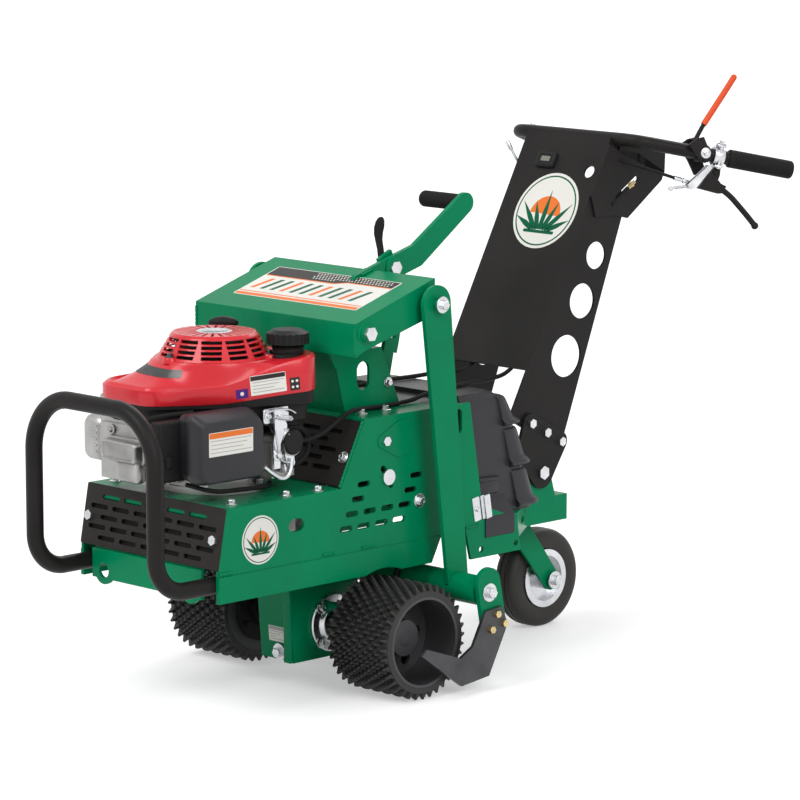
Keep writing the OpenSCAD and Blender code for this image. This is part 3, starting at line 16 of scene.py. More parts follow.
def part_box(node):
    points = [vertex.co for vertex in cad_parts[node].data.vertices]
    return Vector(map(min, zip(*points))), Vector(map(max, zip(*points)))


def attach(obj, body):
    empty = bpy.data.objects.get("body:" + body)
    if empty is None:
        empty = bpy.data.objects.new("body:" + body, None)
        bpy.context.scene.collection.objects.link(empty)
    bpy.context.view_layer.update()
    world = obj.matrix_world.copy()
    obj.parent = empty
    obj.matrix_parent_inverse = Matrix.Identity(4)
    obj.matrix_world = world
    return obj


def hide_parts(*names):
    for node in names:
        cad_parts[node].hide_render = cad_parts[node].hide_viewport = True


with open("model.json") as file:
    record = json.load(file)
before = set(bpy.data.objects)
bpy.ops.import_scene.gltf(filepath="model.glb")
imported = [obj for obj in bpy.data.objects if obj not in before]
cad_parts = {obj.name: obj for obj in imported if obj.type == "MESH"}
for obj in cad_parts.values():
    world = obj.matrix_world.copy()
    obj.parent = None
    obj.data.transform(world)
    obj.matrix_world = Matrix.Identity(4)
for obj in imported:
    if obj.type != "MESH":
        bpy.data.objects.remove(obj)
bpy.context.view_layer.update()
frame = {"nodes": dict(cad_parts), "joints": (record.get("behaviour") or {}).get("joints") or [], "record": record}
nodes = frame["nodes"]
axle_x = next(joint["pos_m"][0] for joint in frame["joints"] if joint["name"] == "drive_spin")

# %% [markdown]
# ## Working in the maker's millimetres
# Everything on the machine is measured in millimetres from the ground below its drive axle, as a drawing
# would be. One matrix turns such a point into the frame's metres, so each piece is built where the drawing
# says. The machine faces along AHEAD, and its left is seen in the picture.

# %% The drawing's frame
MM = 0.001
DRAWING = Matrix.Translation((axle_x, 0, 0)) @ Matrix.Scale(MM, 4)
AHEAD, LEFT, UP = Matrix.Identity(3)


def place(x, y, z):
    """A point of the drawing, in millimetres, as a point of the frame, in metres."""
    return DRAWING @ Vector((x, y, z))


print("drive axle lies over x =", round(axle_x, 4), "m")

# %% [markdown]
# ## A pale studio
# The machine stands on a white sweep under three large soft lamps. The floor takes the shadow, and its pale
# colour is lifted only for the camera and for reflections, so the light on the paint stays plain.

# %% Floor, world and lamps
FLOOR_HALF = 60.0
FLOOR_TONE = 0.8
BACKDROP_GLOW = 0.4
WORLD_LIGHT = 0.4
LAMP_SPREAD = math.radians(32)


def link_object(name, data):
    """An object for the data, in the scene."""
    made = bpy.data.objects.new(name, data)
    bpy.context.scene.collection.objects.link(made)
    return made


def wire(tree, node, inputs):
    """Set a node's inputs, each to a plain value or to another node's output."""
    for name, value in inputs.items():
        if isinstance(value, bpy.types.NodeSocket):
            tree.links.new(value, node.inputs[name])
        else:
            node.inputs[name].default_value = value


def add_node(tree, kind, inputs, **settings):
    """A new shader node with its settings and inputs."""
    node = tree.nodes.new("ShaderNode" + kind)
    for name, value in settings.items():
        setattr(node, name, value)
    wire(tree, node, inputs)
    return node


def seen_directly(tree):
    """One where a ray comes from the camera, a reflection or a clear surface, and zero elsewhere."""
    rays = add_node(tree, "LightPath", {}).outputs
    first = add_node(tree, "Math", {0: rays["Is Camera Ray"], 1: rays["Is Glossy Ray"]}, operation="MAXIMUM")
    both = add_node(tree, "Math", {0: first.outputs[0], 1: rays["Is Transmission Ray"]}, operation="MAXIMUM")
    return both.outputs[0]


def make_floor():
    """A wide pale floor that keeps the machine's shadow."""
    mesh = bpy.data.meshes.new("studio_floor")
    corners = [(u * FLOOR_HALF, v * FLOOR_HALF, 0) for u, v in ((-1, -1), (1, -1), (1, 1), (-1, 1))]
    mesh.from_pydata(corners, [], [(0, 1, 2, 3)])
    floor = link_object("studio_floor", mesh)
    paper = bpy.data.materials.new("studio_paper")
    paper.use_nodes = True
    tree = paper.node_tree
    glow = add_node(tree, "Math", {0: seen_directly(tree), 1: BACKDROP_GLOW}, operation="MULTIPLY")
    wire(tree, tree.nodes["Principled BSDF"], {
        "Base Color": (FLOOR_TONE, FLOOR_TONE, FLOOR_TONE, 1), "Roughness": 1.0, "Specular IOR Level": 0.0,
        "Emission Color": (1, 1, 1, 1), "Emission Strength": glow.outputs[0],
    })
    mesh.materials.append(paper)


def light_world():
    """A white room: plain for the light it gives, white where it is seen or mirrored."""
    world = bpy.data.worlds.new("studio_world")
    bpy.context.scene.world = world
    world.use_nodes = True
    tree = world.node_tree
    level = add_node(tree, "MapRange", {"Value": seen_directly(tree), "To Min": WORLD_LIGHT, "To Max": 1.0})
    wire(tree, tree.nodes["Background"], {"Color": (1, 1, 1, 1), "Strength": level.outputs["Result"]})


def soft_lamp(name, way, strength):
    """A distant soft lamp in one direction, equally strong on the machine and all over the floor."""
    lamp = bpy.data.lights.new(name, "SUN")
    lamp.energy = strength
    lamp.angle = LAMP_SPREAD
    link_object(name, lamp).rotation_euler = Vector(way).to_track_quat("Z", "Y").to_euler()


make_floor()
light_world()
soft_lamp("key_light", (0.66, -0.1, 0.75), 1.5)
soft_lamp("side_light", (0.2, 0.82, 0.54), 1.1)
soft_lamp("rim_light", (-0.72, -0.3, 0.62), 0.6)
print("studio: one floor and three lamps")

# %% [markdown]
# ## The photographer's place
# The camera stands well back with a long lens, ahead of the machine and to its left, a little above it. A
# long lens keeps the parallel edges of the frame nearly parallel.

# %% Camera
CAMERA_TURN = 45.509
CAMERA_RISE = 9.295
CAMERA_AIM = (-165.0, 52.0, 482.0)
CAMERA_REACH = 7143.4
LENS = 180.0
SENSOR = 36.0
CLIP_END = 200.0


def make_camera():
    """A camera that looks at the aim from the photograph's direction."""
    turn = math.radians(CAMERA_TURN)
    rise = math.radians(CAMERA_RISE)
    way = Vector((math.cos(turn) * math.cos(rise), math.sin(turn) * math.cos(rise), math.sin(rise)))
    lens = bpy.data.cameras.new("camera")
    lens.lens = LENS
    lens.sensor_width = SENSOR
    lens.clip_end = CLIP_END
    camera = link_object("camera", lens)
    camera.location = place(*(Vector(CAMERA_AIM) + CAMERA_REACH * way))
    camera.rotation_euler = (-way).to_track_quat("-Z", "Y").to_euler()
    bpy.context.scene.camera = camera
    return camera


camera = make_camera()
bpy.context.scene.view_settings.view_transform = "Standard"
print("camera at", [round(c, 3) for c in camera.location])

# %% [markdown]
# ## Finishes
# Powder coat, moulded plastic, plating, castings and rubber differ in gloss, grain and how evenly they take
# colour. One recipe serves them all: a broad noise drifts the colour, a fine noise sets grain and gloss,
# and a bevel in the shading rounds each sheet's cut edge so that it catches the light.

# %% A recipe for finishes
NOISE_LOW, NOISE_HIGH = 0.3, 0.7
GRAIN_DEPTH = 0.0006
METAL_SHINE = 0.5
COAT_GLOSS = 0.12
SLOT_OF_FINISH = {}


def finish(name, slot, colour, gloss, metal=0.0, drift=0.1, patch=9.0, grain=900.0, relief=0.1, edge=1.2,
           coat=0.0, shine=0.12):
    """A finish for a slot: its colour, its range of roughness, its drift, its grain and its rounded edges."""
    material = bpy.data.materials.new(name)
    material.use_nodes = True
    tree = material.node_tree
    where = add_node(tree, "TexCoord", {}).outputs["Object"]

    def noise(scale, detail):
        """A noise pattern that is fixed to the object."""
        return add_node(tree, "TexNoise", {"Scale": scale, "Detail": detail, "Vector": where}).outputs["Fac"]

    def spread(value, low, high):
        """A noise value stretched over a range."""
        limits = {"From Min": NOISE_LOW, "From Max": NOISE_HIGH, "To Min": low, "To Max": high}
        return add_node(tree, "MapRange", {"Value": value, **limits}).outputs["Result"]

    broad = noise(patch, 5.0)
    deep, pale = [tuple(min(1, c * share) for c in colour) + (1,) for share in (1 - drift, 1 + drift)]
    tint = add_node(tree, "Mix", {"Factor": spread(broad, 0.0, 1.0), "A": deep, "B": pale}, data_type="RGBA")
    bump = add_node(tree, "Bump", {"Strength": relief, "Distance": GRAIN_DEPTH, "Height": noise(grain, 2.0)})
    if edge:
        rounding = add_node(tree, "Bevel", {"Radius": edge * MM}, samples=4)
        wire(tree, bump, {"Normal": rounding.outputs["Normal"]})
    wire(tree, tree.nodes["Principled BSDF"], {
        "Metallic": metal, "Specular IOR Level": METAL_SHINE if metal else shine, "Coat Weight": coat,
        "Coat Roughness": COAT_GLOSS, "Base Color": tint.outputs["Result"],
        "Roughness": spread(broad, *gloss), "Normal": bump.outputs["Normal"],
    })
    SLOT_OF_FINISH[material.name] = slot
    return material


green_paint = finish("green_powder_coat", "green_paint", (0.0, 0.226, 0.094), (0.2, 0.34), drift=0.07,
                     relief=0.05, edge=2.0, shine=0.08)
black_paint = finish("black_powder_coat", "black_paint", (0.016, 0.0145, 0.014), (0.34, 0.5), drift=0.2,
                     grain=1400, relief=0.3)
guard_coat = finish("guard_coat", "black_paint", (0.027, 0.0235, 0.0215), (0.34, 0.5), drift=0.2, grain=1400,
                    relief=0.3)
red_plastic = finish("red_moulding", "red_plastic", (0.66, 0.019, 0.03), (0.2, 0.3), drift=0.06, relief=0.03,
                     edge=1.6, coat=0.2, shine=0.3)
charcoal = finish("charcoal_moulding", "dark_plastic", (0.026, 0.026, 0.03), (0.34, 0.46), grain=1800,
                  relief=0.3, edge=2.0, shine=0.3)
dark_plastic = finish("dark_moulding", "dark_plastic", (0.015, 0.0145, 0.0145), (0.36, 0.52), drift=0.15,
                      grain=1600, relief=0.35)
orange_dip = finish("orange_dip", "orange_plastic", (0.78, 0.098, 0.03), (0.28, 0.4), drift=0.06, relief=0.05)
zinc = finish("zinc_plate", "zinc_steel", (0.62, 0.63, 0.65), (0.2, 0.34), metal=1.0, drift=0.12, patch=40,
              relief=0.05, edge=0.6)
gold_zinc = finish("yellow_zinc", "zinc_steel", (0.62, 0.5, 0.26), (0.24, 0.36), metal=1.0, drift=0.15,
                   patch=60, edge=0.6)
casting = finish("die_casting", "cast_aluminium", (0.4, 0.395, 0.385), (0.32, 0.46), metal=1.0, drift=0.14,
                 patch=30, grain=700, relief=0.4)
dark_steel = finish("oiled_steel", "dark_steel", (0.07, 0.07, 0.074), (0.3, 0.5), metal=0.8, drift=0.25,
                    patch=25, relief=0.15)
soft_rubber = finish("soft_rubber", "soft_rubber", (0.014, 0.014, 0.014), (0.55, 0.75), drift=0.2, grain=1200,
                     relief=0.4, edge=0.8)
tread_rubber = finish("tread_rubber", "tread_rubber", (0.017, 0.0165, 0.016), (0.36, 0.52), drift=0.3,
                      patch=20, relief=0.4, shine=0.4)
tyre_rubber = finish("tyre_rubber", "soft_rubber", (0.03, 0.028, 0.026), (0.46, 0.6), drift=0.15, grain=1200,
                     relief=0.3, edge=0.8, shine=0.25)
plate_grey = finish("grey_plate", "dark_plastic", (0.16, 0.16, 0.16), (0.3, 0.42), metal=0.6, drift=0.08,
                    patch=20, relief=0.05, edge=0)
drum_enamel = finish("drum_enamel", "black_paint", (0.05, 0.05, 0.054), (0.3, 0.44), drift=0.2, grain=1200,
                     relief=0.2, shine=0.4)
CAD_FINISHES = (green_paint, black_paint, dark_plastic, red_plastic, orange_dip, casting, zinc, dark_steel,
                soft_rubber, tread_rubber)
FINISH_OF_SLOT = {SLOT_OF_FINISH[made.name]: made for made in CAD_FINISHES}
for part in frame["record"]["subparts"]:
    mesh = nodes[part["node"]].data
    mesh.materials.clear()
    mesh.materials.append(FINISH_OF_SLOT[part["material_slot"]])
nodes["drums"].data.materials[0] = drum_enamel
print("finishes:", len(SLOT_OF_FINISH), "made;", len(CAD_FINISHES) + 1, "are on the", len(nodes), "nodes")

# %% [markdown]
# ## Shop operations
# A few operations make nearly every loose piece: loft through outlines, turn a profile, bend a tube, cut a
# plate. Each adds its faces to a bmesh in drawing millimetres, so a piece can be built up like a weldment
# and then set into the frame once. A loft is the base of the others, because a turned or bent piece is a
# row of outlines too.

# %% Loft, turn, bend, plate and box
LEAST_R = 0.02


def spoke(turn):
    """The direction at a turn, in degrees, on a flat drawing."""
    return Vector((math.cos(math.radians(turn)), math.sin(math.radians(turn))))


def arc(radius, steps=48, end=360.0):
    """Points round a circle, or round an arc that starts on the right."""
    return [radius * spoke(end * k / steps) for k in range(steps)]


def add_loft(shape, rings, closed_ends=True, looped=False):
    """Join a row of outlines, each with as many points, into one skin; looped joins last to first."""
    rows = [[shape.verts.new(point) for point in ring] for ring in rings]
    count = len(rows[0])
    for low, high in zip(rows, rows[1:] + (rows[:1] if looped else [])):
        for i in range(count):
            j = (i + 1) % count
            shape.faces.new((low[i], low[j], high[j], high[i]))
    if closed_ends:
        shape.faces.new(rows[0][::-1])
        shape.faces.new(rows[-1])


def turned_to(axis):
    """The rotation that carries the drawing's up direction to an axis."""
    return Vector(axis).to_track_quat("Z", "Y").to_matrix()


def add_turned(shape, profile, at, axis=UP, steps=32):
    """Turn a profile of radius and height about an axis; the first and last radius may be zero."""
    frame_of = turned_to(axis)
    rings = []
    for radius, height in profile:
        circle = arc(max(radius, LEAST_R), steps)
        rings.append([Vector(at) + frame_of @ Vector((u, v, height)) for u, v in circle])
    add_loft(shape, rings)


def add_hoop(shape, section, at, steps=96):
    """Turn a closed section of radius and distance across the machine into a ring round a cross axle."""
    rings = [[Vector(at) + Vector((u, along, v)) for u, v in arc(radius, steps)] for radius, along in section]
    add_loft(shape, rings, closed_ends=False, looped=True)


def smooth_route(points, steps):
    """A smooth line through all the points."""
    knots = [Vector(p) for p in points]
    knots = [2 * knots[0] - knots[1]] + knots + [2 * knots[-1] - knots[-2]]
    line = []
    for a, b, c, d in zip(knots, knots[1:], knots[2:], knots[3:]):
        for k in range(steps):
            t = k / steps
            line.append(0.5 * (2 * b + t * (c - a) + t * t * (2 * a - 5 * b + 4 * c - d)
                               + t ** 3 * (3 * b - a - 3 * c + d)))
    return line + [knots[-2]]


def add_tube(shape, points, radius, sides=12, steps=4, lumps=0.0):
    """Bend a tube along a smooth route; lumps give it a welded bead's waves."""
    line = smooth_route(points, steps) if steps > 1 else [Vector(p) for p in points]
    side = (line[1] - line[0]).orthogonal().normalized()
    rings = []
    for i, spot in enumerate(line):
        ahead = line[min(i + 1, len(line) - 1)] - line[max(i - 1, 0)]
        side = (side - side.project(ahead)).normalized()
        across = ahead.normalized().cross(side)
        reach = radius * (1 + lumps * math.sin(1.9 * i))
        rings.append([spot + u * side + v * across for u, v in arc(reach, sides)])
    add_loft(shape, rings)


def on_plane(at, axis, up):
    """A function that carries a flat point, and a height over it, to a plane that lies across an axis."""
    out = Vector(axis).normalized()
    high = (Vector(up) - Vector(up).project(out)).normalized()
    wide = high.cross(out)
    return lambda u, v, height: Vector(at) + u * wide + v * high + height * out


def add_plate(shape, outline, thickness, at, axis, up, edge=0.0):
    """A plate cut to an outline that lies across an axis, with its far edge eased."""
    spot = on_plane(at, axis, up)
    middle = sum((Vector(p) for p in outline), Vector((0, 0))) / len(outline)
    arms = [Vector(p) - middle for p in outline]
    rings = []
    for height, inset in [(0.0, 0.0), (thickness - edge, 0.0)] + ([(thickness, edge)] if edge else []):
        flats = [middle + arm * max(0.0, 1 - inset / max(arm.length, 0.01)) for arm in arms]
        rings.append([spot(*flat, height) for flat in flats])
    add_loft(shape, rings)


def add_pierced(shape, loops, thickness, at, axis, up):
    """A plate cut to its first loop, with the other loops as holes."""
    spot = on_plane(at, axis, up)
    faces = []
    for height in (0.0, thickness):
        rows = [[shape.verts.new(spot(u, v, height)) for u, v in loop] for loop in loops]
        edges = [shape.edges.new((row[i - 1], row[i])) for row in rows for i in range(len(row))]
        bmesh.ops.triangle_fill(shape, use_beauty=True, use_dissolve=False, edges=edges)
        faces.append(rows)
    for low_row, high_row in zip(*faces):
        for i in range(len(low_row)):
            shape.faces.new((low_row[i - 1], low_row[i], high_row[i], high_row[i - 1]))


def rounded(low, high, radii, steps=6):
    """A rectangle's outline with one radius, or one each: low left, low right, high right, high left."""
    corners = [(low[0], low[1], 180), (high[0], low[1], 270), (high[0], high[1], 0), (low[0], high[1], 90)]
    radii = radii if isinstance(radii, tuple) else [radii] * 4
    outline = []
    for (u, v, start), radius in zip(corners, radii):
        middle_u = u + radius * (1 if u == low[0] else -1)
        middle_v = v + radius * (1 if v == low[1] else -1)
        for k in range(steps + 1):
            angle = math.radians(start + 90 * k / steps)
            outline.append((middle_u + radius * math.cos(angle), middle_v + radius * math.sin(angle)))
    return outline


def box_outline(low, high):
    """A plain rectangle."""
    return [(low[0], low[1]), (high[0], low[1]), (high[0], high[1]), (low[0], high[1])]


def add_box(shape, low, high, edge):
    """A block between two corners with all its edges rounded."""
    size = Vector(high) - Vector(low)
    made = bmesh.ops.create_cube(shape, size=1.0)["verts"]
    bmesh.ops.scale(shape, vec=size, verts=made)
    bmesh.ops.translate(shape, vec=(Vector(high) + Vector(low)) / 2, verts=made)
    edges = list(dict.fromkeys(e for v in made for e in v.link_edges))
    bmesh.ops.bevel(shape, geom=edges, offset=edge, segments=3, profile=0.5, affect="EDGES")


print("shop operations: loft, turn, bend, plate, box")

# %% [markdown]
# ## Setting a piece into the frame
# A finished shape becomes an object, takes its finish, and rides on the body that carries it, so it will
# follow every joint. Where it is a fuller form of a CAD solid, it also replaces that solid. Two probes keep
# pieces seated: one reads a CAD node's box in the drawing, and one finds where a line first meets a node.

# %% Pieces and probes
CREASE = math.radians(38)


def set_out(shape, frames):
    """Copy a shape that was drawn straight into each frame."""
    straight = bpy.data.meshes.new("straight")
    shape.to_mesh(straight)
    shape.clear()
    for matrix in frames:
        copy = straight.copy()
        copy.transform(matrix)
        shape.from_mesh(copy)
        bpy.data.meshes.remove(copy)
    bpy.data.meshes.remove(straight)


def piece(name, shape, coats, stands_for=(), body="frame", frames=()):
    """Make a shape a piece of the model; coats is one finish, or a list that the faces point into."""
    if frames:
        set_out(shape, frames)
    bmesh.ops.recalc_face_normals(shape, faces=shape.faces[:])
    shape.transform(DRAWING)
    mesh = bpy.data.meshes.new(name)
    shape.to_mesh(mesh)
    shape.free()
    mesh.shade_smooth()
    mesh.set_sharp_from_angle(angle=CREASE)
    coats = coats if isinstance(coats, list) else [coats]
    for coat in coats:
        mesh.materials.append(coat)
    made = link_object(name, mesh)
    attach(made, body)
    if stands_for:
        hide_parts(*stands_for)
    return made


def drawn_box(node):
    """A node's lowest and highest corners in the drawing."""
    low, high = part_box(node)
    back = DRAWING.inverted()
    return back @ Vector(low), back @ Vector(high)


def touch(node, start, way):
    """Where a line of the drawing first meets a node, and the direction that faces out there."""
    hit, spot, outward, _ = nodes[node].ray_cast(place(*start), Vector(way).normalized())
    if not hit:
        raise ValueError("no " + node + " along the line from " + str(tuple(start)))
    return DRAWING.inverted() @ spot, outward


bpy.context.view_layer.update()
print("the deck's box in the drawing:", [tuple(round(c) for c in corner)
                                         for corner in drawn_box("engine_deck")])

# %% [markdown]
# ## Control cables
# Two sheathed cables run from the handle, down the back of its panel and forward over the rear deck: one to
# the carburettor, one through the deck to the pump. Each is a fixed length of stiff cable, so it follows
# the same route as its solid, smoothed into one curve.

# %% Cables
CABLE_R = 4.0
THROTTLE_ROUTE = [
    (151.8, 126, 456), (136, 131, 456.6), (117, 138.5, 462.5), (96, 144.5, 474), (68, 146.5, 490),
    (34, 139, 496.5), (-10, 127, 494), (-60, 120, 491.5), (-130, 112, 492), (-170, 104, 496),
    (-230, 92, 498.5), (-310, 76, 498.5), (-376, 66, 497.5), (-428, 61.5, 504), (-468, 58, 530),
    (-500, 56, 582), (-540, 56, 655), (-590, 58, 745), (-630, 66, 820), (-655, 80, 862), (-672, 97, 884),
]
DRIVE_ROUTE = [
    (-90, -60, 491.5), (-130, -58, 492), (-170, -56, 496), (-230, -54, 498.5), (-310, -50, 498.5),
    (-380, -48, 500), (-425, -46, 498), (-470, -46, 520), (-500, -46, 580), (-540, -48, 655),
    (-590, -52, 745), (-630, -62, 820), (-655, -78, 862), (-672, -97, 884),
]


def make_cable(name, route):
    """A sheathed cable along a route."""
    line = smooth_route(route, 8)
    shape = bmesh.new()
    add_tube(shape, line, CABLE_R, 14, 1)
    cable = piece(name, shape, soft_rubber, ["control_cables"])


make_cable("throttle_cable", THROTTLE_ROUTE)
make_cable("drive_cable", DRIVE_ROUTE)

# %% [markdown]
# ## Engine shroud
# The red shroud is a moulding: a skirt round the engine, a shoulder that climbs to the ring under the
# recoil cover, and a low nose with a sunk panel. It could be boxed and subdivided, but its plan is known
# exactly, as the hull of a few circles. So the plan is read as a distance from the crankshaft in each
# direction, and each direction gets its own profile of skirt, shoulder and ring.

# %% Shroud
CRANK = Vector((232.0, 0.0))
PLAN_CIRCLES = [((232, 0), 111), ((356, -84), 44), ((376, 0), 24), ((150, -78), 30), ((150, 122), 30)]
SHROUD_LOW = 530.0
RING_R = 99.0
RING_Z = 600.0
TANK_RISE = 16.0
NOSE_WAY = Vector((0.96, -0.28))
SKIRT_FRONT, SKIRT_MORE = 28.0, 36.0
NOSE_RIM, NOSE_SUNK, EDGE_ROLL = 3.0, 3.0, 4.0
RIM_STARTS, RIM_ENDS, PANEL_ENDS = (0.03, 0.09), (0.13, 0.18), (0.86, 0.92)
WALL_TURN = 67.3
TURNS = range(0, 360, 3)
SHARES = [0, 0.015, 0.035, 0.06, 0.09, 0.13, 0.155, 0.18, 0.24, 0.34, 0.44, 0.54, 0.64, 0.74, 0.8, 0.86,
          0.92, 0.96, 1]
PANEL_SHARES = SHARES[12:16]
PANEL_TURNS = range(-57, 19, 3)
SKIRT_EDGE = [(-4, 5), (-4, 0), (-1.5, 0), (0, 2)]
RING_EDGE = [(2, 0), (-12, 0), (-13, -14)]
NORMALS = [spoke(turn) for turn in [*range(360), WALL_TURN]]
SUPPORT = [max((Vector(c) - CRANK).dot(n) + r for c, r in PLAN_CIRCLES) for n in NORMALS]


def plan_reach(way):
    """How far the shroud's plan reaches from the crankshaft in one direction."""
    return min(s / n.dot(way) for s, n in zip(SUPPORT, NORMALS) if n.dot(way) > 0.05)


def ease(value, low, high):
    """Zero below low, one above high, smooth between."""
    t = min(1.0, max(0.0, (value - low) / (high - low)))
    return t * t * (3 - 2 * t)


def tank_rise(flat):
    """How far the skirt climbs above its lowest edge towards the tank, at a place of the plan."""
    return TANK_RISE * ease(-flat.x, -340, -120) * ease(flat.y, -60, 60)


def shroud_point(turn, share):
    """A point on the shroud's upper skin: share runs from the edge of the plan, 0, to the recoil ring, 1."""
    way = spoke(turn)
    reach = plan_reach(way)
    nose = ease(way.dot(NOSE_WAY), 0.35, 0.92)
    skirt = SKIRT_FRONT + SKIRT_MORE * ease(-way.x, -0.8, 0.8)
    base = SHROUD_LOW + tank_rise(CRANK + reach * way)
    rim = NOSE_RIM * nose * ease(share, *RIM_STARTS) * (1 - ease(share, *RIM_ENDS))
    sunk = NOSE_SUNK * nose * ease(share, *RIM_ENDS) * (1 - ease(share, *PANEL_ENDS))
    shoulder = 0.72 * ease(share, 0.0, 1.0) + 0.28 * share
    climb = (1 - nose) * shoulder + nose * (0.25 * share + 0.75 * share * share)
    roll = EDGE_ROLL * (1 - ease(share, 0.0, 0.05))
    radius = reach + (RING_R + 4 - reach) * share
    height = base + skirt + (RING_Z - base - skirt) * climb - roll * (1 - nose * 0.5) + rim - sunk
    return Vector((*(CRANK + radius * way), height))


def make_shroud():
    """The skirt, the shoulder, the ring and the mouth under the recoil cover."""
    columns = []
    for turn in TURNS:
        way = spoke(turn).to_3d()
        edge = shroud_point(turn, 0)
        foot = Vector((edge.x, edge.y, SHROUD_LOW + tank_rise(edge)))
        column = [foot + step * way + lift * UP for step, lift in SKIRT_EDGE]
        column += [shroud_point(turn, share) for share in SHARES]
        column += [Vector((*CRANK, RING_Z + lift)) + (RING_R + step) * way for step, lift in RING_EDGE]
        columns.append(column)
    shape = bmesh.new()
    add_loft(shape, [list(ring) for ring in zip(*columns)], closed_ends=False)
    return shape


def make_nose_panel():
    """A grey plate that lies in the nose's sunk field; it shares the shroud's own grid, so it lies close."""
    shape = bmesh.new()
    lift = 0.6 * UP
    rows = [[shape.verts.new(shroud_point(turn, share) + lift) for turn in PANEL_TURNS]
            for share in PANEL_SHARES]
    for low, high in zip(rows, rows[1:]):
        for i in range(len(low) - 1):
            shape.faces.new((low[i], low[i + 1], high[i + 1], high[i]))
    bmesh.ops.solidify(shape, geom=shape.faces[:], thickness=-0.8)
    return shape


piece("engine_shroud_moulding", make_shroud(), red_plastic, ["engine_shroud"])
piece("nose_panel", make_nose_panel(), plate_grey)
print("shroud: plan reaches", round(plan_reach(Vector((1, 0)))), "mm forward of the crankshaft")

# %% [markdown]
# ## Fasteners
# A machine like this is held together by plated hex screws on washers, and their bright heads are what the
# eye finds first. A hex head is a profile turned in six steps; its top is drawn in so that the corners are
# broken.

# %% Bolt heads and the recoil cover
HEX_CORNER = 0.577
HEX_PROFILE = [(0, 0), (1, 0), (1, 0.5), (0.84, 0.6), (0.5, 0.61), (0.42, 0.56), (0, 0.56)]
WASHER_R, WASHER_SIDE, WASHER_THICK = 0.98, 0.13, 0.17
WASHER_EDGE = 0.6


def add_bolt(shape, at, axis, across=11.0, washer=True):
    """A hex head, with its corners broken, on a washer; both go by the width across the head's flats."""
    radius = HEX_CORNER * across
    lift = 0.0
    if washer:
        rim, side, lift = WASHER_R * across, WASHER_SIDE * across, WASHER_THICK * across
        disc = [(0, 0), (rim, 0), (rim, side), (rim - WASHER_EDGE, lift), (0, lift)]
        add_turned(shape, disc, at, axis, 24)
    head = [(share * radius, lift + rise * across) for share, rise in HEX_PROFILE]
    add_turned(shape, head, at, axis, 6)


def seat_bolt(shape, node, start, way, across=11.0, washer=True):
    """A bolt head seated where a line meets a node."""
    spot, outward = touch(node, start, way)
    add_bolt(shape, spot, outward, across, washer)


SCREW_SPOTS = [Vector((*(CRANK + 98 * spoke(turn)), RING_Z)) for turn in (-2, 121, 241)]
RECOIL_TURNED = (
    ("recoil_feet", red_plastic, SCREW_SPOTS, 24, [(0, -4), (13, -4), (12.5, 4), (11, 6), (0, 6)]),
    ("recoil_centre", zinc, [(*CRANK, 641.9)], 48,
     [(0, 0), (31, 0), (31, 0.8), (30, 1.2), (26, 1.2), (25, 0.9), (0, 0.9)]),
    ("rope_reel", dark_plastic, [(*CRANK, 0)], 32,
     [(0, 602), (76, 602), (76, 606), (66, 608), (66, 628), (72, 630), (72, 633), (0, 633)]),
)
shape = bmesh.new()
for spot in SCREW_SPOTS:
    add_bolt(shape, spot + 6 * UP, UP, 9.0)
piece("recoil_screws", shape, dark_steel)
for name, coat, spots, steps, profile in RECOIL_TURNED:
    shape = bmesh.new()
    for spot in spots:
        add_turned(shape, profile, spot, UP, steps)
    piece(name, shape, coat)
print("recoil cover: three screwed feet and a bare centre disc")

# %% [markdown]
# ## Air cleaner, valve cover and muffler guard
# These are pressed or moulded boxes whose edges have very different radii. Lofting a rounded rectangle
# outwards, and drawing some of its sides in, gives each edge its own radius; a bevel would round them all
# alike.

# %% Engine covers
AIR_CORNERS = (9, 20, 12, 26)
AIR_LEVELS = [(0.0, 8.0, 4.0, 3.0), (0.3, 7.0, 3.0, 1.0), (0.38, 3.0, 1.0, 0.0), (0.46, 0.8, 0.0, 0.0),
              (0.56, 0.0, 0.0, 0.0), (0.66, 0.6, 1.5, 0.3), (0.8, 2.6, 6.0, 1.2), (0.93, 5.2, 11.0, 3.2),
              (0.97, 6.4, 12.8, 4.6), (0.985, 7.4, 13.8, 5.6), (1.0, 9.5, 16.0, 7.8)]
VALVE_ACROSS = (-95.0, 5.0)
VALVE_LOW = 426.0
VALVE_LEVELS = [(0.0, 0.0), (0.3, 0.0), (0.33, 3.0), (0.8, 4.5), (0.95, 6.0), (1.0, 7.5), (1.0, 9.5),
                (0.93, 10.5), (0.93, 13.0)]
MUFFLER_FRONT = 382.0
MUFFLER_WIDER = 12.0
MUFFLER_LEVELS = [(0.0, 6.0), (0.02, 3.0), (0.06, 2.0), (0.78, 2.0), (0.88, 3.5), (0.95, 7.0), (0.99, 12.0),
                  (1.0, 15.0)]
LOUVRES, LOUVRE_LOW, LOUVRE_PITCH = 5, 18, 11
LOUVRE_HIGH, LOUVRE_EDGE = 5, 0.9
# The second wall is a dark band just under the skirt: it closes the gap there, and its dark face is painted shade
# under the skirt.
FAN_WALL_AND_SHADE_BAND = (((12, 3), (15, 3), (18, -34), (15, -34)), ((2.5, 3), (6, 3), (6, -6), (2.5, -6)))


def make_air_cleaner():
    """A moulded case: its front and top slope in towards a flat, framed outer face."""
    low, high = drawn_box("air_cleaner")
    rings = []
    for share, front, top, rest in AIR_LEVELS:
        outline = rounded((low.x + rest, low.z + rest), (high.x - front, high.z - top), AIR_CORNERS)
        rings.append([Vector((u, low.y + share * (high.y - low.y), v)) for u, v in outline])
    shape = bmesh.new()
    add_loft(shape, rings)
    return shape


